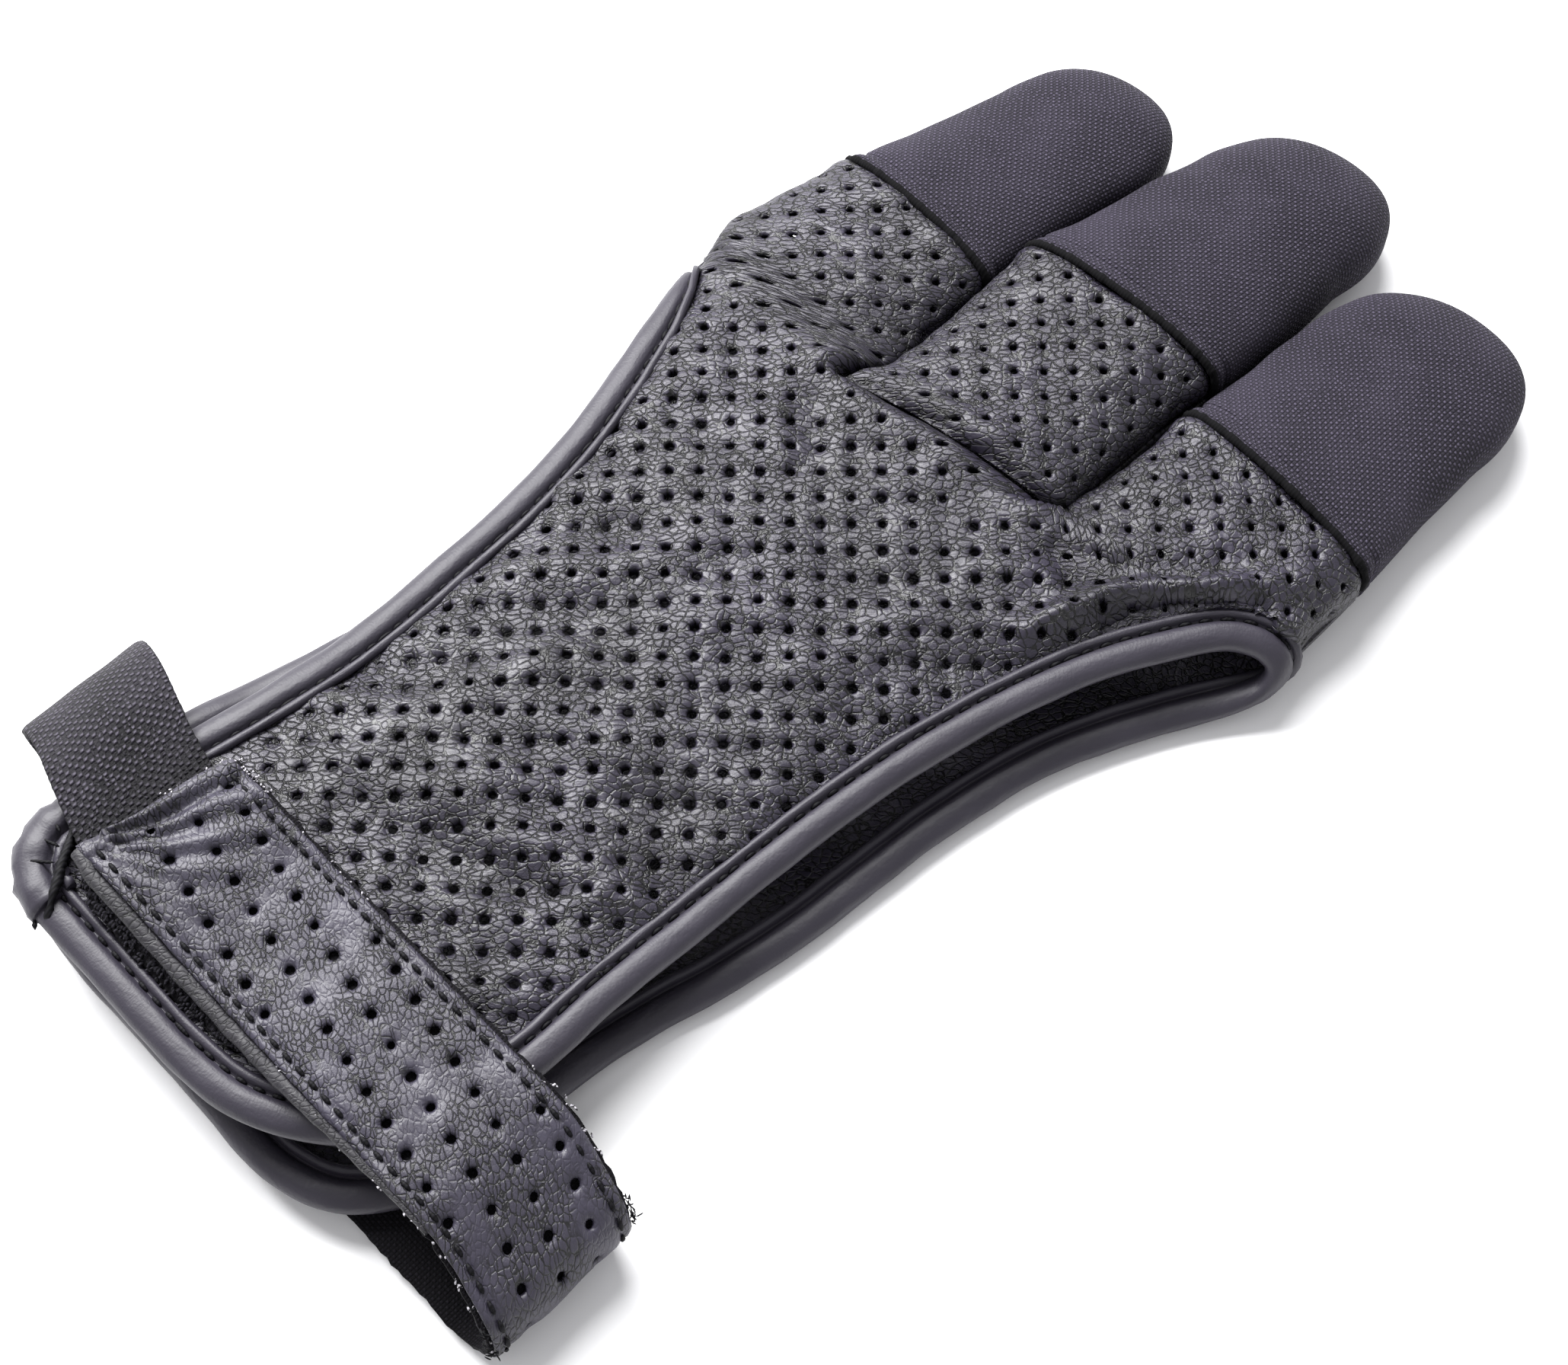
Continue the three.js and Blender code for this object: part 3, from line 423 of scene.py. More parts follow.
def punched(outline, holes, step=None, radius=None):
    # flat points, triangles and, for each point, how deep it sinks at a hole's rim
    step = step or sheetDetail["mesh"]
    radius = radius or sheetDetail["holeRadius"]
    outline = np.array(outline)
    holes = np.array(holes).reshape(-1, 2)
    polygon = outline[:, :2]
    points = [tuple(p) for p in polygon]
    edges = [(i, (i + 1) % len(points)) for i in range(len(points))]
    sink = [0.0] * len(points)
    holeOf = [-1] * len(points)
    sides, rim = sheetDetail["holeSides"], sheetDetail["rim"]
    for h, (cx, cy) in enumerate(holes):
        smaller = 1 - sheetDetail["fingerHoles"] * smooth(lengthwise(0.55), lengthwise(0.66), cy)
        own = radius * random.uniform(0.86, 1.12) * smaller
        spin = random.uniform(0, 1)
        first = len(points)
        for k in range(sides):
            a = (k + spin) * 2 * math.pi / sides
            points.append((cx + own * math.cos(a) * random.uniform(0.92, 1.06),
                           cy + own * math.sin(a) * random.uniform(0.92, 1.06)))
            edges.append((first + k, first + (k + 1) % sides))
        for k in range(sides):
            a = (k + 0.5 + spin) * 2 * math.pi / sides
            points.append((cx + (own + rim) * math.cos(a), cy + (own + rim) * math.sin(a)))
        sink += [sheetDetail["holeSink"]] * sides + [sheetDetail["rimSink"]] * sides
        holeOf += [h] * sides + [-1] * sides
    low, high = polygon.min(0), polygon.max(0)
    jitter = sheetDetail["jitter"]
    grid = []
    for r, y in enumerate(np.arange(low[1] + step / 2, high[1], step * 0.87)):
        for x in np.arange(low[0] + (r % 2) * step / 2, high[0], step):
            grid.append((x + random.uniform(-jitter, jitter) * step,
                         y + random.uniform(-jitter, jitter) * step))
    grid = np.array(grid)
    grid = grid[insidePolygon(grid, polygon)]
    near = np.full(len(grid), 9.0)
    for chunk in np.array_split(np.arange(len(grid)), max(1, len(grid) // 2000)):
        g = grid[chunk]
        toEdge = np.linalg.norm(g[:, None] - polygon[None], axis=2).min(1)
        near[chunk] = np.minimum(near[chunk], toEdge / sheetDetail["edgeRoom"])
        if len(holes):
            toHole = np.linalg.norm(g[:, None] - holes[None], axis=2).min(1)
            near[chunk] = np.minimum(near[chunk], (toHole - radius) / sheetDetail["holeRoom"])
    grid = grid[near > 1]
    points += [tuple(p) for p in grid]
    sink += [0.0] * len(grid)
    holeOf += [-1] * len(grid)
    verts, _, tris, origVerts, _, _ = delaunay_2d_cdt(
        [Vector(p) for p in points], edges, [], 0, 1e-5)
    flat = np.array([v[:] for v in verts])
    tris = np.array([t[:] for t in tris if len(t) == 3])
    source = [o[0] if o else -1 for o in origVerts]
    sinks = np.array([sink[i] if i >= 0 else 0 for i in source])
    owner = np.array([holeOf[i] if i >= 0 else -1 for i in source])
    o = owner[tris]
    inHole = (o[:, 0] >= 0) & (o[:, 0] == o[:, 1]) & (o[:, 1] == o[:, 2])
    keep = insidePolygon(flat[tris].mean(1), polygon) & ~inHole
    return flat, tris[keep], sinks


def toFrame(points):
    return (np.asarray(points, float) + np.array([*glove["centre"], 0])) * mm


def newObject(name, points, faces, flatCoords=None):
    mesh = bpy.data.meshes.new(name)
    mesh.from_pydata(toFrame(points).tolist(), [], [list(map(int, f)) for f in faces])
    mesh.update()
    for p in mesh.polygons:
        p.use_smooth = True
    if flatCoords is not None:
        layer = mesh.uv_layers.new(name="flat")
        loops = np.zeros(len(mesh.loops), np.int32)
        mesh.loops.foreach_get("vertex_index", loops)
        layer.data.foreach_set("uv", (np.asarray(flatCoords)[loops] * mm).astype(np.float32).ravel())
    obj = bpy.data.objects.new(name, mesh)
    bpy.context.scene.collection.objects.link(obj)
    return obj


def vertexNormals(points, tris):
    a, b, c = points[tris[:, 0]], points[tris[:, 1]], points[tris[:, 2]]
    n = np.cross(b - a, c - a)
    out = np.zeros_like(points)
    for k in range(3):
        np.add.at(out, tris[:, k], n)
    return out / (np.linalg.norm(out, axis=1)[:, None] + 1e-12)


def thickSheet(name, flat, tris, outer, wall, sinks=None, heights=None):
    # two skins wall apart, joined along every free edge
    used = np.unique(tris)
    renumber = np.full(len(flat), -1)
    renumber[used] = np.arange(len(used))
    tris, flat, outer = renumber[tris], flat[used], outer[used]
    normals = vertexNormals(outer, tris)
    inner = outer - normals * wall
    if heights is not None:
        outer = outer + normals * heights(flat, outer)[:, None]
    if sinks is not None:
        outer = outer - normals * sinks[used][:, None]
    count = len(outer)
    directed = {}
    for t in tris:
        for a, b in ((t[0], t[1]), (t[1], t[2]), (t[2], t[0])):
            directed[(a, b)] = True
    faces = [tuple(t) for t in tris] + [(t[0] + count, t[2] + count, t[1] + count) for t in tris]
    faces += [(b, a, a + count, b + count) for a, b in directed if (b, a) not in directed]
    return newObject(name, np.r_[outer, inner], faces, np.r_[flat, flat])


def gridObject(name, grid, flatScale=None, flat=None):
    # a tube from rings of points
    rows, columns = grid.shape[:2]
    faces = []
    for r in range(rows - 1):
        for c in range(columns):
            d = (c + 1) % columns
            faces.append((r * columns + c, r * columns + d, (r + 1) * columns + d, (r + 1) * columns + c))
    if flatScale is not None:
        flat = np.stack(np.meshgrid(np.arange(columns) * flatScale[0], np.arange(rows) * flatScale[1]), 2)
        flat = flat.reshape(-1, 2)
    return newObject(name, grid.reshape(-1, 3), faces, flat)


def closedTube(name, grid, flatScale=None):
    obj = gridObject(name, grid, flatScale)
    rows, count = grid.shape[:2]
    bm = bmesh.new()
    bm.from_mesh(obj.data)
    bm.verts.ensure_lookup_table()
    for first in (0, (rows - 1) * count):
        ring = [bm.verts[first + k] for k in range(count)]
        bm.faces.new(ring if first else ring[::-1])
    bmesh.ops.recalc_face_normals(bm, faces=bm.faces)
    bm.to_mesh(obj.data)
    bm.free()
    return obj


def toLinear(code):
    values = [int(code[i:i + 2], 16) / 255 for i in (1, 3, 5)]
    return tuple(v / 12.92 if v <= 0.04045 else ((v + 0.055) / 1.055) ** 2.4 for v in values) + (1,)


def setInputs(tree, node, inputs):
    for key, value in inputs.items():
        if isinstance(value, bpy.types.NodeSocket):
            tree.links.new(value, node.inputs[key])
        else:
            node.inputs[key].default_value = value


def addNode(tree, kind, inputs=None, ramp=(), output=0, **settings):
    # adds a node and gives one of its outputs, or the node itself where output is None
    node = tree.nodes.new("ShaderNode" + kind)
    for key, value in settings.items():
        setattr(node, key, value)
    setInputs(tree, node, inputs or {})
    if ramp:
        while len(node.color_ramp.elements) < len(ramp):
            node.color_ramp.elements.new(0.5)
        for element, (place, colour) in zip(node.color_ramp.elements, ramp):
            element.position = place
            element.color = colour
    return node if output is None else node.outputs[output]


def newMaterial(name):
    material = bpy.data.materials.new(name)
    material.use_nodes = True
    tree = material.node_tree
    tree.nodes.clear()
    shader = addNode(tree, "BsdfPrincipled", output=None)
    addNode(tree, "OutputMaterial", {"Surface": shader.outputs["BSDF"]}, output=None)
    return material, tree, shader


def spots(tree, coords, size, detail):
    # a noise whose spots are about size mm across
    return addNode(tree, "TexNoise", {"Vector": coords, "Scale": 1 / (size * mm), "Detail": detail})


def pushedAbout(tree, coords, place, size, amount):
    # moves place by a noise, so that no pattern runs dead straight
    wander = addNode(tree, "TexNoise", {"Vector": coords, "Scale": 1 / (size * mm), "Detail": 2.0},
                     output="Color")
    centred = addNode(tree, "VectorMath", {0: wander, 1: (0.5, 0.5, 0.5)}, operation="SUBTRACT")
    push = addNode(tree, "VectorMath", {0: centred, "Scale": amount * mm}, operation="SCALE")
    return addNode(tree, "VectorMath", {0: place, 1: push}, operation="ADD")


def leatherMaterial(name, deep, mid, light, grain):
    material, tree, shader = newMaterial(name)
    coords = addNode(tree, "UVMap", uv_map="flat")
    place = pushedAbout(tree, coords, coords, 3.5, 1.1)
    place = pushedAbout(tree, coords, place, 0.9, grain["waver"])
    turned = addNode(tree, "VectorRotate", {"Vector": place, "Angle": grain["turn"]},
                     rotation_type="Z_AXIS")
    drawn = addNode(tree, "Mapping", {"Vector": turned, "Scale": (grain["drawn"], 1, 1)})
    patches = spots(tree, coords, 7, 3.0)
    openness = addNode(tree, "MapRange", {"Value": patches, "From Min": 0.38, "From Max": 0.6,
                                          "To Min": grain["shallow"], "To Max": 1.0})
    domes, lines = [], []
    for size, share in ((grain["size"], 1.0), (grain["size"] * 0.48, 0.3)):
        cells = addNode(tree, "TexVoronoi", {"Vector": drawn, "Scale": 1 / (size * mm)},
                        feature="DISTANCE_TO_EDGE")
        domes.append(addNode(tree, "MapRange", {"Value": cells, "From Max": 0.24, "To Max": share},
                             interpolation_type="SMOOTHSTEP"))
        lines.append(addNode(tree, "MapRange", {"Value": cells, "From Max": grain["line"],
                                                "To Min": share, "To Max": 0.0},
                             interpolation_type="SMOOTHSTEP"))
    dome = addNode(tree, "Math", {0: domes[1], 1: 0.4, 2: domes[0]}, operation="MULTIPLY_ADD")
    dome = addNode(tree, "Math", {0: dome, 1: grain["swell"]}, operation="MULTIPLY")
    line = addNode(tree, "Math", {0: lines[1], 1: 0.45, 2: lines[0]}, operation="MULTIPLY_ADD")
    line = addNode(tree, "Math", {0: line, 1: openness}, operation="MULTIPLY")
    cut = addNode(tree, "Math", {0: line, 1: -1.3, 2: dome}, operation="MULTIPLY_ADD")
    height = addNode(tree, "Math", {0: spots(tree, coords, 0.3, 2.0), 1: 0.22, 2: cut},
                     operation="MULTIPLY_ADD")
    tone = addNode(tree, "ValToRGB", {"Fac": spots(tree, coords, 24, 2.0)},
                   ramp=[(0.3, toLinear(mid)), (0.7, toLinear(light))])
    # painted shade: the crease lines are darkened towards the deep colour
    dark = addNode(tree, "Math", {0: line, 1: grain["creaseShade"]}, operation="MULTIPLY", use_clamp=True)
    setInputs(tree, shader, {
        "Base Color": addNode(tree, "Mix", {"Factor": dark, 6: tone, 7: toLinear(deep)}, output=2,
                              data_type="RGBA"),
        "Roughness": addNode(tree, "MapRange", {"Value": patches, "From Min": 0.3, "From Max": 0.7,
                                                "To Min": grain["gloss"], "To Max": grain["gloss"] + 0.12}),
        "Normal": addNode(tree, "Bump", {"Height": height, "Strength": 1.0,
                                         "Distance": grain["depth"] * mm}),
        "IOR": 1.5})
    return material


def bindingMaterial():
    # Sheepskin strip, rolled over the edge: smooth and satiny, with fine stretch lines across it
    material, tree, shader = newMaterial("rolledSheepskinBinding")
    coords = addNode(tree, "UVMap", uv_map="flat")
    across = addNode(tree, "Mapping", {"Vector": coords, "Scale": (1, 0.25, 1)})
    height = addNode(tree, "Math", {0: spots(tree, coords, 0.3, 1.0), 1: 0.4,
                                    2: spots(tree, across, 0.5, 3.0)}, operation="MULTIPLY_ADD")
    setInputs(tree, shader, {
        "Base Color": addNode(tree, "ValToRGB", {"Fac": spots(tree, coords, 12, 2.0)},
                              ramp=[(0.3, toLinear("#25222c")), (0.72, toLinear("#2e2b35"))]),
        "Normal": addNode(tree, "Bump", {"Height": height, "Strength": 0.8, "Distance": 0.09 * mm}),
        "Roughness": 0.5, "IOR": 1.46})
    return material


def wovenMaterial(name, dark, light, pitch, depth, roughness, across=0.3, shadowSpan=None):
    # plain weave: at each crossing either the thread along is on top, or the thread across, lower
    material, tree, shader = newMaterial(name)
    coords = addNode(tree, "UVMap", uv_map="flat")
    warped = pushedAbout(tree, coords, coords, 5, 0.25)
    scaled = addNode(tree, "Mapping", {"Vector": warped, "Scale": (1 / (pitch * mm), 1 / (pitch * mm), 1)})
    split = addNode(tree, "SeparateXYZ", {"Vector": scaled}, output=None)
    checker = addNode(tree, "TexChecker", {"Vector": scaled, "Scale": 1.0, "Color1": (1, 1, 1, 1),
                                           "Color2": (0, 0, 0, 1)}, output="Fac")
    humps = []
    for axis in "XY":
        phase = addNode(tree, "Math", {0: split.outputs[axis], 1: math.pi}, operation="MULTIPLY")
        wave = addNode(tree, "Math", {0: phase}, operation="SINE")
        humps.append(addNode(tree, "Math", {0: wave}, operation="ABSOLUTE"))
    threads = []
    for longHump, shortHump in (humps, humps[::-1]):
        rounder = addNode(tree, "Math", {0: shortHump, 1: 0.5}, operation="POWER")
        threads.append(addNode(tree, "Math", {0: longHump, 1: rounder}, operation="MULTIPLY"))
    lower = addNode(tree, "Math", {0: threads[0], 1: across}, operation="MULTIPLY")
    weave = addNode(tree, "Mix", {"Factor": checker, 2: lower, 3: threads[1]}, data_type="FLOAT")
    height = addNode(tree, "Math", {0: spots(tree, coords, 0.3, 3.0), 1: 0.5, 2: weave},
                     operation="MULTIPLY_ADD")
    shade = addNode(tree, "Math", {0: spots(tree, coords, 14, 3.0), 1: 0.5, 2: weave},
                    operation="MULTIPLY_ADD")
    tone = addNode(tree, "ValToRGB", {"Fac": shade},
                   ramp=[(0.15, toLinear(dark)), (0.95, toLinear(light))])
    if shadowSpan:
        # painted shadow of the strap: darker towards its end, where the strap lies over it
        flatY = addNode(tree, "SeparateXYZ", {"Vector": coords}, output="Y")
        shadowShare = addNode(tree, "MapRange", {"Value": flatY, "From Min": shadowSpan[0] * mm,
                                          "From Max": shadowSpan[1] * mm, "To Max": 0.72},
                       interpolation_type="SMOOTHSTEP")
        tone = addNode(tree, "Mix", {"Factor": shadowShare, 6: tone, 7: toLinear(dark)}, output=2,
                       data_type="RGBA")
    setInputs(tree, shader, {
        "Base Color": tone, "Roughness": roughness, "Specular IOR Level": 0.2,
        "Normal": addNode(tree, "Bump", {"Height": height, "Strength": 1.0, "Distance": depth * mm})})
    return material


# Goatskin, drum dyed and softened by wear: pebbles of about a millimetre, with creases between, darkened with
# painted shade
perforatedGoatskin = leatherMaterial("perforatedGoatskin", "#020103", "#1e1b26", "#2e2a39", {
    "size": 0.9, "line": 0.12, "depth": 0.1, "swell": 0.4, "creaseShade": 4.2, "gloss": 0.39,
    "turn": -0.78, "drawn": 0.66, "waver": 0.5, "shallow": 0.28})
# The strap's cut is finer, pressed flatter and waxed: short creases, a soft shine
strapGoatskin = leatherMaterial("strapGoatskin", "#08070a", "#2b2834", "#373442", {
    "size": 0.68, "line": 0.13, "depth": 0.07, "swell": 0.4, "creaseShade": 1.6, "gloss": 0.44,
    "turn": 0.5, "drawn": 0.6, "waver": 0.35, "shallow": 0.12})
# The same strip's turned edge, in darker colours: painted shade, as it faces away from the light
shadedTurnedGoatskin = leatherMaterial("shadedTurnedGoatskin", "#040405", "#17151b", "#201e25", {
    "size": 0.68, "line": 0.1, "depth": 0.05, "swell": 0.8, "creaseShade": 1.0, "gloss": 0.55,
    "turn": 0.5, "drawn": 0.6, "waver": 0.35, "shallow": 0.1})
rolledSheepskin = bindingMaterial()
# Fingertips of tightly woven nylon: dull, with little dashes of thread, drawn a little coarse to show
wovenNylon = wovenMaterial("wovenNylon", "#08070b", "#4b4655", 0.56, 0.45, 0.85, 0.22)
# Loop tape under the strap: black pile that swallows light
brushedTape = wovenMaterial("brushedTape", "#050406", "#18161c", 0.5, 0.25, 0.95)


def threadMaterial(name, colour, roughness):
    # Bonded polyester thread: twisted, with a slight wax shine
    material, tree, shader = newMaterial(name)
    coords = addNode(tree, "TexCoord", output="Object")
    twist = addNode(tree, "TexWave", {"Vector": coords, "Scale": 1 / (1.6 * mm), "Distortion": 1.0},
                    output="Fac")
    setInputs(tree, shader, {
        "Base Color": addNode(tree, "ValToRGB", {"Fac": twist},
                              ramp=[(0.0, toLinear("#050506")), (1.0, toLinear(colour))]),
        "Normal": addNode(tree, "Bump", {"Height": twist, "Strength": 0.5, "Distance": 0.05 * mm}),
        "Roughness": roughness, "Specular IOR Level": 0.15})
    return material


waxedThread = threadMaterial("waxedThread", "#121116", 0.65)
# near black: partly the hem's own dark thread, partly painted shadow beside the hem's edge
hemPileAndShadow = threadMaterial("hemPileAndShadow", "#09080b", 0.95)
tapePile = threadMaterial("tapePile", "#2b2930", 0.9)
rawFibre = threadMaterial("rawFibre", "#b9b6bd", 0.8)
print("materials made")


def finishPiece(obj, material, slot, *nodes):
    obj.data.materials.append(material)
    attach(obj, "root")
    if nodes:
        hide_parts(*nodes)
    return obj


# Punched holes: staggered rows across the hand
pattern = {"rowStep": 2.9, "holeStep": 5.8, "shiftX": 0.6, "shiftY": 0.4, "apart": 2.6}


def punchPlaces(panel, fingerList, outline, shift=(0, 0), margin=1.5):
    places = []
    polygon = np.array(outline)
    low, high = polygon.min(0), polygon.max(0)
    for r in range(-60, 60):
        y = r * pattern["rowStep"] + pattern["shiftY"] + shift[1]
        if not low[1] < y < high[1]:
            continue
        for c in range(-20, 21):
            u = (c + 0.5 * (r % 2)) * pattern["holeStep"] + pattern["shiftX"] + shift[0]
            for finger in fingerList:
                t = panel.patternToFlat(finger, u, y)
                left, right = panel.edge(finger, 0, y), panel.edge(finger, 1, y)
                joined = y < lengthwise(glove["arch"])
                room = 0 if joined else margin
                if left + (room if finger > 0 else 0) <= t <= right - (room if finger < 2 else 0):
                    places.append((t, y))
    places = np.array(places)
    places = places[insidePolygon(places, polygon)]
    clear = np.linalg.norm(places[:, None] - polygon[None], axis=2).min(1) > margin
    kept = []
    for p in places[clear]:
        if all(math.dist(p, q) > pattern["apart"] for q in kept[-60:]):
            kept.append(tuple(p))
    return kept


# Creases worn into the back's leather: points (along, out) of each, half width, height
creases = [
    ([(0.540, 0.262), (0.575, 0.286), (0.617, 0.319), (0.657, 0.400), (0.712, 0.483)], 1.9, 3.2),
    ([(0.583, 0.336), (0.632, 0.412), (0.674, 0.480)], 3.2, -3.9),
    ([(0.606, 0.200), (0.616, 0.270), (0.641, 0.340), (0.690, 0.410)], 2.7, -2.0),
    ([(0.560, 0.150), (0.585, 0.215), (0.590, 0.260)], 2.2, 0.8),
    ([(0.600, -0.175), (0.566, -0.140), (0.540, -0.080)], 2.4, -0.7),
    ([(0.590, -0.230), (0.552, -0.180), (0.530, -0.110)], 2.2, 0.6),
    ([(0.193, -0.200), (0.226, -0.024), (0.254, 0.158), (0.266, 0.264)], 4.0, 1.3),
    ([(0.165, -0.161), (0.200, 0.008), (0.222, 0.176)], 3.6, -1.3),
    ([(0.270, -0.220), (0.300, -0.050), (0.322, 0.140)], 3.6, 1.0),
    ([(0.422, -0.188), (0.441, 0.024), (0.447, 0.188)], 6.0, 0.6),
    ([(0.352, -0.203), (0.370, -0.073), (0.376, 0.134)], 5.0, -0.6),
    ([(0.597, -0.440), (0.590, -0.360), (0.581, -0.254)], 3.5, -0.5),
]


# Hills and dents worn into the leather: length and width of each, height, seed
wornHills = [(17, 10, 1.45, 0), (6, 3.4, 0.36, 7), (2.6, 1.7, 0.08, 3)]
# Where the leather dips or swells: height, half width, how far from the line
relief = {
    "squareSide": (-0.7, 0.8), "underBinding": (-0.65, 2.2), "atHem": (-0.85, 0.7),
    "besideHem": (0.3, 1.2, 2.4), "inSeam": (-1.3, 1.0), "besideSeam": (0.7, 1.8, 3),
}


def hump(distance, height, width, at=0):
    return height * np.exp(-((distance - at) / width) ** 2)


def creaseHeight(x, y):
    height = np.zeros(len(x))
    for points, width, rise in creases:
        line = throughPoints([(crosswise(out), lengthwise(along)) for along, out in points], 8)
        away = np.hypot(x[:, None] - line[None, :, 0], y[:, None] - line[None, :, 1])
        nearest = away.argmin(1) / (len(line) - 1)
        ends = np.clip(nearest / 0.25, 0, 1) * np.clip((1 - nearest) / 0.25, 0, 1)
        height += hump(away.min(1), rise, width) * (0.25 + 0.75 * ends) * (ends > 0)
    return height


def backRelief(panel, fingerList, seed):
    # worn hills and dents, the creases, and edges that sink under the binding and into the seams
    hems = []
    for f in fingers:
        rows = np.array(f["rows"])
        left, right = (crosswise(np.interp(f["hem"][k], rows[:, 0], rows[:, k + 1])) for k in (0, 1))
        hems.append(((left, right), (lengthwise(f["hem"][0]), lengthwise(f["hem"][1]))))

    def heights(flat, points):
        x, y = points[:, 0], points[:, 1]
        folded = creaseHeight(x, y)
        out = folded.copy()
        for i, (a, b) in enumerate(zip(x, y)):
            for long, wide, height, own in wornHills:
                out[i] += height * noise.noise(Vector(((a + b) / long, (a - b) / wide, seed + own)))
        out *= smoothArray(wristY + 1, wristY + 7, y)
        # drawn smoother over the fingers
        drawn = mix(1, 0.6, smoothArray(lengthwise(0.5), lengthwise(0.6), y))
        out = np.where(y > lengthwise(0.5), folded + (out - folded) * drawn, out)
        t, v = flat[:, 0], flat[:, 1]
        left, right = panel.edge(1, 0, v), panel.edge(1, 1, v)
        seam = seamY(np.clip((t - left) / (right - left), 0, 1))
        if fingerList == (1,):
            toSeam = np.abs(v - seam)
            out += hump(np.minimum(t - left, right - t), *relief["squareSide"])
        else:
            toSeam = np.hypot(np.maximum(0, seam - v), np.maximum(0, np.maximum(left - t, t - right)))
            toSide = np.minimum(t - panel.edge(0, 0, v), panel.edge(2, 1, v) - t)
            out += hump(np.maximum(0, toSide), *relief["underBinding"]) * (v < lengthwise(0.62))
        for f in fingerList:
            on = (t >= panel.edge(f, 0, v) - 0.01) & (t <= panel.edge(f, 1, v) + 0.01)
            toHem = np.interp(x, *hems[f]) - y
            out += on * hump(np.maximum(0, toHem), *relief["atHem"])
            out += on * hump(toHem, *relief["besideHem"])
        return out + hump(toSeam, *relief["inSeam"]) + hump(toSeam, *relief["besideSeam"])
    return heights


def seamY(share):
    return lengthwise(mix(glove["squareLeft"], glove["squareRight"], share))


def hemLine(panel, finger, drop=0.3):
    line = []
    for q in np.linspace(1, 0, 34):
        y = hemY(finger, fingerSection(finger, lengthwise(0.74))[0])
        for _ in range(3):
            x = panel.lift(np.array([[panel.edge(finger, q, y), y]]))[0, 0]
            y = hemY(finger, x) - drop
        line.append((panel.edge(finger, q, y), y))
    return line


def sideLine(panel, finger, q, fromY, toY):
    count = max(2, int(abs(toY - fromY)))
    return [(panel.edge(finger, q, y), y) for y in np.linspace(fromY, toY, count + 1)]


def joinOutline(*lines):
    out = []
    for line in lines:
        for p in line:
            if not out or math.dist(p, out[-1]) > 0.25:
                out.append((float(p[0]), float(p[1])))
    if math.dist(out[0], out[-1]) < 0.25:
        out.pop()
    return out


print("laying out the back")
backMap = PanelMap("back", wristY, lengthwise(0.80))
ringHem, indexHem, middleHem = (hemLine(backMap, f) for f in (2, 0, 1))
seamGap = 0.5
backOutline = joinOutline(
    sampled((backMap.edge(0, 0, wristY), wristY), (backMap.edge(2, 1, wristY), wristY)),
    sideLine(backMap, 2, 1, wristY, ringHem[0][1]), ringHem,
    sideLine(backMap, 2, 0, ringHem[-1][1], seamY(1) - seamGap),
    [(backMap.edge(1, q, seamY(q) - seamGap), seamY(q) - seamGap) for q in np.linspace(1, 0, 30)],
    sideLine(backMap, 0, 1, seamY(0) - seamGap, indexHem[0][1]), indexHem,
    sideLine(backMap, 0, 0, indexHem[-1][1], wristY))
backHoles = punchPlaces(backMap, (0, 1, 2), backOutline)
flat, tris, sinks = punched(backOutline, backHoles)
back = thickSheet("back_leather", flat, tris, backMap.lift(flat), glove["wall"], sinks,
                  backRelief(backMap, (0, 1, 2), 1))
finishPiece(back, perforatedGoatskin, "leather", "back_panel")
print("back leather", len(backHoles), "holes", len(back.data.polygons), "faces")

squareOutline = joinOutline(
    [(backMap.edge(1, q, seamY(q)), seamY(q)) for q in np.linspace(0, 1, 30)],
    sideLine(backMap, 1, 1, seamY(1), middleHem[0][1]), middleHem,
    sideLine(backMap, 1, 0, middleHem[-1][1], seamY(0)))
squareHoles = punchPlaces(backMap, (1,), squareOutline, (1.7, 1.1))
flat, tris, sinks = punched(squareOutline, squareHoles)
square = thickSheet("middle_leather", flat, tris, backMap.lift(flat), glove["wall"], sinks,
                    backRelief(backMap, (1,), 3))
finishPiece(square, perforatedGoatskin, "leather", "middle_finger_back")

print("laying out the palm")
palmMap = PanelMap("palm", wristY, lengthwise(0.80))
crotchY = lengthwise(glove["crotch"]) + 0.1
palmLines = [sampled((palmMap.edge(0, 0, wristY), wristY), (palmMap.edge(2, 1, wristY), wristY))]
for finger, fromY, toY in ((2, wristY, crotchY), (1, crotchY, crotchY), (0, crotchY, wristY)):
    hem = hemLine(palmMap, finger)
    palmLines += [sideLine(palmMap, finger, 1, fromY, hem[0][1]), hem,
                  sideLine(palmMap, finger, 0, hem[-1][1], toY)]
palmOutline = joinOutline(*palmLines)
palmPattern = {"plain": 10, "mesh": 1.7, "radius": 0.5}     # plain where it shows in the side gap
palmHoles = [p for p in punchPlaces(palmMap, (0, 1, 2), palmOutline)
             if p[0] < palmMap.edge(2, 1, p[1]) - palmPattern["plain"]]
flat, tris, sinks = punched(palmOutline, palmHoles, palmPattern["mesh"], palmPattern["radius"])
tris = tris[:, ::-1]
palm = thickSheet("palm_leather", flat, tris, palmMap.lift(flat), glove["wall"], sinks)
finishPiece(palm, perforatedGoatskin, "leather", "palm_panel")


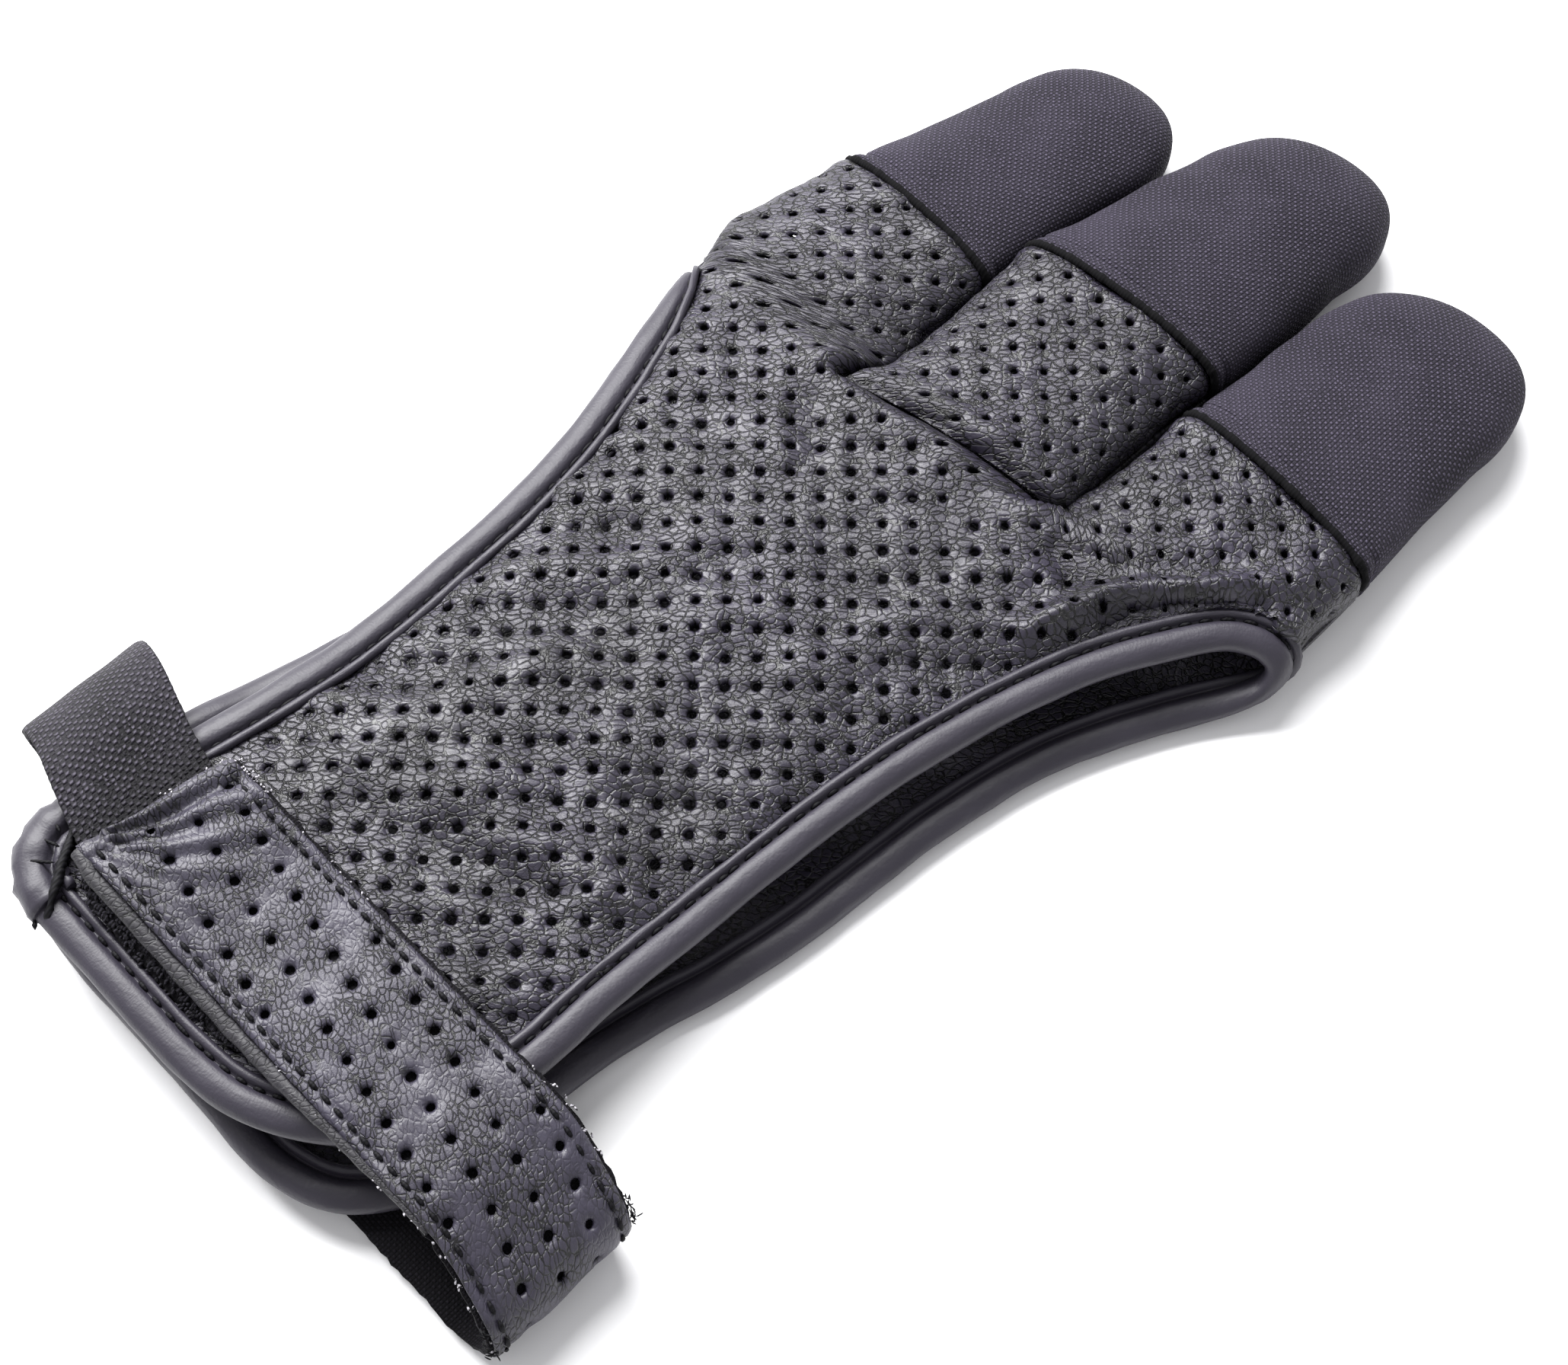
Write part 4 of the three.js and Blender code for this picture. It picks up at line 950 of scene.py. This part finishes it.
# Edge binding: a narrow rolled lip, a stitched groove and a wide roll, closed underneath
bindingProfile = [
    (0.50, 0.20), (0.525, 0.33), (0.49, 0.45), (0.43, 0.51), (0.36, 0.50), (0.31, 0.42), (0.28, 0.28),
    (0.25, 0.18), (0.21, 0.22), (0.18, 0.36), (0.11, 0.47), (0.0, 0.52), (-0.14, 0.51), (-0.28, 0.45),
    (-0.40, 0.32), (-0.475, 0.16), (-0.50, 0.0),
]
stitch = {"step": 2.6, "long": 1.9, "radius": 0.32, "groove": 0.25, "height": 0.23, "sides": 6}


def bindingObject(name, path, swell=0.0, crumple=0.0):
    under = [(a, -h) for a, h in bindingProfile[-2::-1]]
    loop = bindingProfile + under + [(0.2, -0.19), (0.2, 0.19)]
    rows = []
    for p in path:
        s = p["run"]
        wander = noise.noise(Vector((s / 11, 3.1, 0))) * 0.12
        row = []
        for a, h in loop:
            soft = 1 + 0.05 * noise.noise(Vector((s / 5, a * 5, h * 4)))
            soft += crumple * noise.noise(Vector((s / 1.3, a * 2.2, h * 1.5)))
            row.append(p["place"] + p["inward"] * (a * (p["width"] + swell) * soft + wander)
                       + p["facing"] * h * (binding["thickness"] + swell) * soft)
        rows.append(row)
    grid = np.array(rows)
    step = path[1]["run"] - path[0]["run"]
    return closedTube(name, grid, (0.45, step))


def ring(centre, side, up, radius, sides):
    return [centre + (side * math.cos(a) + up * math.sin(a)) * radius
            for a in 2 * math.pi * np.arange(sides) / sides]


def capsule(a, b, radius, bulge):
    # a short stitch: thickest in the middle, lifted along bulge
    along = unit(b - a)
    side = unit(np.cross(along, bulge))
    up = unit(np.cross(side, along))
    rows = []
    for t, r in ((0, 0.15), (0.12, 0.7), (0.35, 1), (0.65, 1), (0.88, 0.7), (1, 0.15)):
        centre = a + (b - a) * t + up * radius * 0.6 * math.sin(t * math.pi)
        rows.append(ring(centre, side, up, radius * r, stitch["sides"]))
    return np.array(rows)


def stitchesObject(name, places, radius):
    # one mesh of stitches, each from a to b
    points, faces = [], []
    for a, b, bulge in places:
        rows = capsule(a, b, radius, bulge)
        first = len(points)
        points += list(rows.reshape(-1, 3))
        n = stitch["sides"]
        last = first + (len(rows) - 1) * n
        for base in range(first, last, n):
            faces += [(base + k, base + (k + 1) % n, base + n + (k + 1) % n, base + n + k) for k in range(n)]
        faces += [tuple(range(first + n - 1, first - 1, -1)), tuple(range(last, last + n))]
    return newObject(name, points, faces)


def bindingStitches(path, every=1):
    places = []
    run = np.array([p["run"] for p in path])
    s = 1.5
    while s < run[-1] - 2.5:
        pair = []
        for at in (s, s + stitch["long"] * random.uniform(0.9, 1.1)):
            i = min(len(path) - 1, int(np.searchsorted(run, at)))
            p = path[i]
            pair.append(p["place"] + p["inward"] * stitch["groove"] * p["width"]
                        + p["facing"] * stitch["height"] * binding["thickness"])
            facing = p["facing"]
        if math.dist(pair[0], pair[1]) > 0.5:
            places.append((pair[0], pair[1], facing))
        s += stitch["step"] * random.uniform(0.94, 1.06)
    return places


littleBinding = bindingObject("little_side_rolled_binding", littlePath)
finishPiece(littleBinding, rolledSheepskin, "binding", "little_side_binding")
thumbBinding = bindingObject("thumb_side_rolled_binding", thumbPath)
finishPiece(thumbBinding, rolledSheepskin, "binding", "thumb_side_binding")
tab = bindingObject("corner_tab_fold", edgePath(tabFold), 1.4, 0.2)
finishPiece(tab, rolledSheepskin, "binding", "corner_tab")
edgeStitches = stitchesObject("binding_stitches", bindingStitches(littlePath) + bindingStitches(thumbPath),
                              stitch["radius"])
finishPiece(edgeStitches, waxedThread, "binding")


def cordObject(name, line, radius, rough, sides=6):
    # a thin thread along a line of points, uneven by rough
    ahead = np.gradient(line, axis=0)
    rows = []
    for i, (p, a) in enumerate(zip(line, ahead)):
        a = unit(a)
        side = unit(np.cross(a, (0, 0, 1.0)) + 1e-9)
        up = unit(np.cross(side, a))
        r = radius * (1 + rough * random.uniform(-1, 1)) * (0.15 if i in (0, len(line) - 1) else 1)
        rows.append(ring(p, side, up, r, sides))
    grid = np.array(rows)
    return closedTube(name, grid)


# The tab's whip stitches: one seam across it and threads pulled tight round its fold
tabThreads = [
    ([(0.056, -0.352, 13.9), (0.048, -0.338, 14.3), (0.040, -0.325, 14.5), (0.032, -0.314, 14.6),
      (0.024, -0.300, 14.5), (0.014, -0.286, 14.2), (0.004, -0.274, 12.0)], 0.6),
    ([(0.058, -0.384, 10.8), (0.057, -0.370, 13.6), (0.050, -0.346, 14.3)], 0.24),
    ([(0.047, -0.400, 10.4), (0.047, -0.384, 13.3), (0.044, -0.350, 14.3)], 0.28),
    ([(0.028, -0.392, 10.2), (0.032, -0.371, 13.5), (0.038, -0.336, 14.4)], 0.28),
    ([(0.012, -0.368, 10.6), (0.019, -0.350, 13.7), (0.030, -0.322, 14.4)], 0.22),
    ([(0.004, -0.300, 12.0), (0.001, -0.292, 12.2), (-0.003, -0.282, 11.6)], 0.3),
]
for number, (points, radius) in enumerate(tabThreads):
    line = throughPoints([(crosswise(out), lengthwise(along), z) for along, out, z in points], 5)
    thread = cordObject("tab_thread_" + str(number + 1), line, radius, 0.35)
    finishPiece(thread, waxedThread, "binding")
print("bindings made")


# Woven fingertips, each with a turned hem
cap = {
    "around": 96, "along": 54, "hemRows": 16, "hemShare": 0.07, "hemWidth": 1.5, "hemHeight": 0.4,
    "groove": 0.3, "grooveWidth": 1.4, "slack": 0.35, "wall": 1.1, "threadStep": 0.45, "thread": 0.62,
}


def capObject(finger):
    f = fingers[finger]
    tipY = lengthwise(f["tip"][0])
    hemMiddle = lengthwise(sum(f["hem"]) / 2)
    rows = []
    for j in range(cap["along"] + 1):
        v = cap["hemShare"] * j / cap["hemRows"]       # closer rows over the hem
        if j > cap["hemRows"]:
            v = mix(cap["hemShare"], 1, (j - cap["hemRows"]) / (cap["along"] - cap["hemRows"]))
        reach = math.sin(v * math.pi / 2)
        row = []
        for k in range(cap["around"]):
            turn = k / cap["around"]
            side, around = ("back", turn * 2) if turn <= 0.5 else ("palm", 2 - turn * 2)
            startY = hemY(finger, fingerSkin(finger, side, around, hemMiddle)[0])
            y = mix(startY, tipY - 0.02, reach)
            p = fingerSkin(finger, side, around, y)
            if k == 0 or turn == 0.5:
                p[2] = glove["seamHeight"]
            centre, half, fullness, height, blunt = fingerSection(finger, y)
            away = unit(np.array([p[0] - centre, 0, (p[2] - glove["seamHeight"]) * 1.6]))
            d = y - startY
            lift = 0.0
            if d < cap["hemWidth"]:
                lift = cap["hemHeight"] * math.sin(math.pi * clamp01(d / cap["hemWidth"])) ** 0.7
                lift *= 1 + 0.5 * noise.noise(Vector((p[0] / 1.4, p[2] / 1.4, finger)))
            elif d < cap["hemWidth"] + cap["grooveWidth"]:
                lift = -cap["groove"] * math.sin(math.pi * (d - cap["hemWidth"]) / cap["grooveWidth"])
            else:
                lift = cap["slack"] * noise.noise(Vector((p[0] / 9, y / 7, finger * 3))) * fullness
            if side == "palm":
                lift *= 0.3
            row.append(p + away * lift)
        rows.append(row)
    grid = np.array(rows)
    # the weave's own flat place: along the finger, and round it from the top of the back
    top = cap["around"] // 4
    run = np.r_[0, np.cumsum(np.linalg.norm(np.diff(grid[:, top], axis=0), axis=1))]
    turned = np.roll(grid, -top, axis=1)
    girth = np.cumsum(np.linalg.norm(np.diff(turned, axis=1, append=turned[:, :1]), axis=2), axis=1)
    angle = np.c_[np.zeros(len(grid)), girth[:, :-1]]
    angle = np.where(angle > girth[:, -1:] / 2, angle - girth[:, -1:], angle)
    flat = np.stack([np.roll(angle, top, axis=1), np.repeat(run[:, None], cap["around"], 1)], 2)
    obj = gridObject(f["name"] + "_weave", grid, flat=flat.reshape(-1, 2))
    border = grid[0, :top * 2 + 1] + unit(np.array([0, -1, 0.4])) * 0.45
    return obj, border


for finger in range(3):
    piece, border = capObject(finger)
    solidify = piece.modifiers.new("wall", "SOLIDIFY")
    solidify.thickness = cap["wall"] * mm
    solidify.offset = -1
    finishPiece(piece, wovenNylon, "nylon", fingers[finger]["name"])
    run = np.r_[0, np.cumsum(np.linalg.norm(np.diff(border, axis=0), axis=1))]
    stops = np.arange(0, run[-1], cap["threadStep"])
    line = np.stack([np.interp(stops, run, border[:, k]) for k in range(3)], 1)
    # a thick near-black cord along the hem: the hem's dark thread, standing also for the painted shadow
    # beside the hem
    hemThreadAndShadow = cordObject(fingers[finger]["name"] + "_hem_thread_and_shadow", line, cap["thread"], 0.2)
    finishPiece(hemThreadAndShadow, hemPileAndShadow, "nylon")
print("fingertips made")


# Wrist strap: the leather and the tape follow one line in x and z
bindingTop = backEdgeHeight(-strap["start"]) + binding["thickness"] / 2
backTop = backEdgeHeight(-strap["start"]) + glove["backRise"] * glove["wristCrown"] + glove["wall"] / 2


class Band:
    def __init__(self, rows):
        curve = throughPoints([(x, 0, z) for x, z in rows], 40)
        self.run = np.r_[0, np.cumsum(np.linalg.norm(np.diff(curve, axis=0), axis=1))]
        self.curve = curve
        self.length = self.run[-1]
        ahead = np.gradient(curve, axis=0)
        self.ahead = ahead / np.linalg.norm(ahead, axis=1)[:, None]

    def at(self, s):
        place = np.stack([np.interp(s, self.run, self.curve[:, k]) for k in range(3)], 1)
        ahead = np.stack([np.interp(s, self.run, self.ahead[:, k]) for k in range(3)], 1)
        out = np.stack([-ahead[:, 2], 0 * s, ahead[:, 0]], 1)
        return place, out / np.linalg.norm(out, axis=1)[:, None]


def strapRows():
    half = strapThickness / 2
    overBinding = bindingTop + glove["clearance"] + half
    overBack = max(bindingTop, backTop) + glove["clearance"] + half
    overElastic = overBack + elastic["wall"] + glove["clearance"]
    fold = strap["reach"] - half
    radius = (strap["foldHeight"] - strapThickness) / 2
    return [
        (strap["leftEnd"], overElastic), (strap["leftEnd"] * 0.72, overElastic),
        (strap["leftEnd"] * 0.3, overBack), (strap["reach"] * 0.2, overBack),
        (strap["reach"] * 0.45, mix(overBack, overBinding, 0.6)), (strap["reach"] * 0.66, overBinding),
        (fold - radius * 1.2, half + radius * 2.06), (fold - radius * 0.35, half + radius * 1.65),
        (fold, half + radius), (fold - radius * 0.35, half + radius * 0.35),
        (fold - radius * 1.2, half), (mix(fold, strap["underEnd"], 0.6), half), (strap["underEnd"], half),
    ]


strapBand = Band(strapRows())
strapHigh = -strap["start"]


def liftStrap(flat, distance):
    s, across = flat[:, 0], flat[:, 1]
    place, out = strapBand.at(np.clip(s, 0, strapBand.length))
    place[:, 2] = np.maximum(place[:, 2], strapThickness / 2)
    v = s / strapBand.length
    points = place + out * distance
    points[:, 1] = strapHigh - strap["width"] + across
    points[:, 1] -= strap["slip"] * smoothArray(0.5, 0.72, v)
    points[:, 0] += strap["slant"] * (across / strap["width"] - 0.5) * smoothArray(0.2, 0, v)
    points[:, 0] += np.minimum(0, s)
    points[:, 2] -= strap["droop"] * np.maximum(0, -across - 0.6) * (v < 0.45)
    return points


def strapRelief(flat, points):
    # gathered folds that fan out from the sewn corner, and a stitched dip along both edges
    s, across = flat[:, 0], flat[:, 1]
    reach = np.hypot(s, across)
    angle = np.arctan2(across, np.maximum(s, 0.01))
    spread = np.exp(-(np.maximum(0, 1.45 - angle) / 0.75) ** 2)
    fan = np.sin(angle * 22 + 1.5 * np.sin(reach / 4)) * np.exp(-reach / 15) * np.clip(reach / 3, 0, 1)
    toEdge = np.minimum(across, strap["width"] - across)
    dip = hump(toEdge, -0.42, 0.5, 1.5) + hump(toEdge, -0.3, 0.5)
    hem = hump(s, 0.25, 0.7, 1.4) + hump(s, -0.4, 0.5, 2.8)
    wave = np.array([0.35 * noise.noise(Vector((a / 9, b / 6, 5)))
                     + 0.12 * noise.noise(Vector((a / 3, b / 3, 2))) for a, b in flat])
    return 1.15 * fan * spread + dip + hem + wave


strapCorners = [(0, 0), (strapBand.length, 0), (strapBand.length, strap["width"]), (0, strap["width"])]
strapOutline = joinOutline(*(sampled(strapCorners[k - 1], strapCorners[k]) for k in (1, 2, 3, 0)))


def wobbled(x, y):
    # the long edges aren't cut dead straight
    return (x, y + (0.12 * noise.noise(Vector((x / 2, y, 8))) if not 1 <= y <= strap["width"] - 1 else 0))


strapOutline = [wobbled(x, y) for x, y in strapOutline]
strapPattern = {"along": (4.5, -0.8), "across": (2.2, 4.9), "first": (1.2, 2.9), "mesh": 0.55, "radius": 0.62}
strapHoles = []
for i in range(-30, 60):
    for j in range(-30, 60):
        x, y = (i * strapPattern["along"][k] + j * strapPattern["across"][k] + strapPattern["first"][k]
                for k in (0, 1))
        if 2.5 < x < strapBand.length - 1.5 and 2.2 < y < strap["width"] - 1.9:
            strapHoles.append((x, y))
flat, tris, sinks = punched(strapOutline, strapHoles, strapPattern["mesh"], strapPattern["radius"])
strapLeather = thickSheet("strap_leather", flat, tris, liftStrap(flat, strapThickness / 2),
                          strap["leather"], sinks, strapRelief)
finishPiece(strapLeather, strapGoatskin, "leather", "wrist_strap")


def tapeShow(s):
    # how much more of the tape shows beside the wrist binding, s along the strap
    return 2.9 * smooth(0.5, 7, s) * smooth(42, 18, s)


tapeOutline = []
for x, y in strapOutline:
    rag = 0.35 * noise.noise(Vector((x / 0.9, y, 2))) + 0.25 * noise.noise(Vector((x / 3.5, y, 6)))
    low = 0.5 + tapeShow(x)
    tapeOutline.append((x, y - low + rag if y < 1 else y + 0.6 + rag if y > strap["width"] - 1 else y))
flat, tris, sinks = punched(tapeOutline, [], 1.0)
tapeTop = strap["tape"] - strapThickness / 2
tape = thickSheet("strap_tape", flat, tris, liftStrap(flat, tapeTop), strap["tape"])
finishPiece(tape, brushedTape, "tape", "strap_lining")


def strapStitches():
    places = []
    for across in (strap["stitchIn"], strap["width"] - strap["stitchIn"]):
        s = 2.0
        while s < strapBand.length - 2:
            pair = liftStrap(np.array([[s, across], [s + 1.7, across]]), strapThickness / 2 - 0.2)
            _, out = strapBand.at(np.array([s]))
            places.append((pair[0], pair[1], out[0]))
            s += strap["stitchStep"] * random.uniform(0.93, 1.07)
    return places


strapThread = stitchesObject("strap_stitches", strapStitches(), 0.3)
finishPiece(strapThread, waxedThread, "tape")


def looseFibres(places, count, long, along=0.0):
    # short hairs about each place (s, across, how far out, spread), the more along the edge the nearer
    # along is to 1
    out = []
    for s, across, distance, spread in places:
        for _ in range(count):
            at = np.array([[s + random.uniform(-1, 1) * spread[0],
                            across + random.uniform(-1, 1) * spread[1]]])
            foot = liftStrap(at, distance + random.uniform(-0.2, 0.3))[0]
            _, up = strapBand.at(at[:, 0])
            way = np.array([random.uniform(-1, 1), random.uniform(-1, 1), random.uniform(-0.2, 0.8)])
            forth = liftStrap(at + (0.5, 0), distance)[0] - liftStrap(at - (0.5, 0), distance)[0]
            way = unit(unit(way) * (1 - along) + unit(forth) * along * random.choice((-1, 1)))
            out.append((foot, foot + way * long * random.uniform(0.4, 1.2), up[0]))
    return out


def edgeSpecks():
    # the tape's cut edge, fuzzy and pale where its glue shows
    places = []
    for across, ranges in ((-0.35, ((34, 44, 8), (44, 62, 20), (62, 80, 13))),
                           (strap["width"] + 0.4, ((0, 7, 26), (14, 30, 8), (56, 72, 18)))):
        for first, last, count in ranges:
            for _ in range(count):
                places.append((random.uniform(first, last), across, 0.2, (0.4, 0.45)))
    places += [(random.uniform(0, 0.6), strap["width"] * random.uniform(0.55, 1), 0.8, (0.4, 0.4))
               for _ in range(40)]
    return looseFibres(places, 1, 0.8, 0.6)


specks = stitchesObject("strap_edge_specks", edgeSpecks(), 0.13)
finishPiece(specks, rawFibre, "tape")
foldMiddle = strapBand.run[int(np.argmax(strapBand.curve[:, 0]))]
frayed = [(foldMiddle - 2, -0.4, 0.5, (2.5, 0.5)), (foldMiddle - 2, strap["width"] + 0.4, 0.5, (2.5, 0.5))]
frays = stitchesObject("strap_corner_frays", looseFibres(frayed, 30, 1.0), 0.09)
finishPiece(frays, waxedThread, "tape")


def tapeLoops():
    # the tape's pile where it shows below the strap
    out = []
    for _ in range(560):
        s = random.uniform(1.5, 38)
        at = np.array([[s, -random.uniform(0.3, 0.6 + tapeShow(s))]])
        foot = liftStrap(at, -0.15)[0]
        way = np.array([random.uniform(-1, 1), random.uniform(-1, 1), 0]) * 0.5
        out.append((foot - way, foot + way, np.array([0, 0, 1.0])))
    return out


loops = stitchesObject("strap_tape_loops", tapeLoops(), 0.24)
finishPiece(loops, tapePile, "tape")


def turnedEdge():
    # the strap's lower edge, turned under where it leaves the corner
    rows = []
    for s in np.arange(0.4, 64, 0.6):
        full = smooth(64, 30, s)
        centre = liftStrap(np.array([[s, -0.1 - 0.75 * full * smooth(0, 5, s)]]), 0)[0]
        wide, high = 0.45 + 0.6 * full, 0.5 + 0.25 * full
        wide *= 1 + 0.25 * noise.noise(Vector((s / 3, 2, 2)))
        rows.append([centre + np.array([0, wide * math.cos(a), 0.15 + high * math.sin(a)])
                     for a in np.linspace(0, 2 * math.pi, 10, endpoint=False)])
    return closedTube("strap_turned_edge", np.array(rows), (0.5, 0.6))


edge = turnedEdge()
finishPiece(edge, shadedTurnedGoatskin, "leather")
print("strap made")


# Elastic webbing, doubled round the thumb side
def elasticRows():
    half = elastic["wall"] / 2
    overBinding = bindingTop + glove["clearance"] + half
    overBack = max(bindingTop, backTop) + glove["clearance"] + half
    fold = half - elastic["reach"]
    radius = (elastic["foldHeight"] - elastic["wall"]) / 2
    end = elastic["innerEnd"]
    return [
        (end, overBack), (mix(end, fold, 0.3), mix(overBinding, overBack, 0.5)),
        (mix(end, fold, 0.6), overBinding), (mix(end, fold, 0.84), mix(half, overBinding, 0.76)),
        (fold + radius * 0.3, half + radius * 1.7), (fold, half + radius),
        (fold + radius * 0.4, half + radius * 0.3), (fold + radius * 1.3, half),
        (mix(end, fold, 0.5), half), (end, half),
    ][::-1]


elasticBand = Band(elasticRows())
# Elastic webbing woven from thick rubber-cored yarn, each crossing a small dark bead
# its last span is darkened with painted shadow where the strap lies over it
wovenElastic = wovenMaterial("wovenElastic", "#020203", "#4e4a55", 0.68, 0.85, 0.7, 0.02,
                             (elasticBand.length - 15, elasticBand.length - 4))


def elasticObject():
    rows, columns = int(elasticBand.length / 0.45), int(elastic["width"] / 0.4)
    s = np.linspace(0, elasticBand.length, rows)
    place, out = elasticBand.at(s)
    place[:, 2] = np.maximum(place[:, 2], elastic["wall"] / 2)
    across = np.linspace(0, elastic["width"], columns)
    high = -strap["start"] - elastic["inset"]
    grids = []
    for sign in (1, -1):
        grid = np.zeros((rows, columns, 3))
        for r in range(rows):
            lift = elastic["rise"] * smooth(elastic["innerEnd"], 0.75 - elastic["reach"], place[r, 0])
            wave = np.array([noise.noise(Vector((s[r] / 8, c / 7, 4))) * 0.3 for c in across])
            edge = np.exp(-(np.minimum(across, elastic["width"] - across) / 0.4) ** 2) * 0.25
            rag = 0.16 * noise.noise(Vector((s[r] / 0.6, 1, 9)))
            grid[r] = place[r] + out[r] * (sign * (elastic["wall"] / 2 - edge) + wave)[:, None]
            grid[r, :, 1] = high - elastic["width"] + across + lift + rag
        grids.append(grid)
    ring = np.concatenate([grids[0], grids[1][:, ::-1]], axis=1)
    return closedTube("elastic_webbing", ring, (0.4, 0.45))


webbing = elasticObject()
finishPiece(webbing, wovenElastic, "elastic", "elastic_loop")
print("elastic made")


# Plain pale floor
floorMesh = bpy.data.meshes.new("floor")
floorMesh.from_pydata([(-3, -3, 0), (3, -3, 0), (3, 3, 0), (-3, 3, 0)], [], [(0, 1, 2, 3)])
floor = bpy.data.objects.new("floor", floorMesh)
bpy.context.scene.collection.objects.link(floor)
floor.location.z = -0.0003
paleCard, tree, shader = newMaterial("paleCard")
setInputs(tree, shader, {"Base Color": toLinear("#fbfbfc"), "Roughness": 0.9})
floorMesh.materials.append(paleCard)

# A bright white sweep, with the strongest light from the thumb's side and a softbox over the fingers
bpy.context.scene.view_settings.view_transform = "Standard"
world = bpy.data.worlds.new("studio")
world.use_nodes = True
setInputs(world.node_tree, world.node_tree.nodes["Background"],
          {"Color": toLinear("#fdfdff"), "Strength": 0.64})
bpy.context.scene.world = world


def softbox(name, place, size, power):
    data = bpy.data.lights.new(name, "AREA")
    data.shape = "DISK"
    data.size = size
    data.energy = power
    light = bpy.data.objects.new(name, data)
    light.location = place
    light.rotation_euler = (-Vector(place)).to_track_quat("-Z", "Y").to_euler()
    bpy.context.scene.collection.objects.link(light)


softbox("sideSoftbox", (-0.47, -0.02, 0.44), 0.36, 9.0)
softbox("overheadSoftbox", (-0.36, 0.30, 0.66), 0.38, 7.6)

# Camera as in the photograph: 62 degrees down, long side 36 degrees wide
view = {"down": 62, "wide": 36, "turn": 45.442, "target": (11.02, -16.73, 12.0), "distance": 311.5}
down, turn = math.radians(view["down"]), math.radians(view["turn"])
ahead = Matrix.Rotation(turn, 3, "Z") @ Vector((0, math.cos(down), -math.sin(down)))
right = Matrix.Rotation(turn, 3, "Z") @ Vector((1, 0, 0))
up = right.cross(ahead)
cameraData = bpy.data.cameras.new("camera")
cameraData.angle = math.radians(view["wide"])
camera = bpy.data.objects.new("camera", cameraData)
target = Vector(toFrame([view["target"]])[0])
basis = Matrix((right, up, -ahead)).transposed().to_4x4()
basis.translation = target - ahead * view["distance"] * mm
camera.matrix_world = basis
bpy.context.scene.collection.objects.link(camera)
bpy.context.scene.camera = camera

print("scene ready")
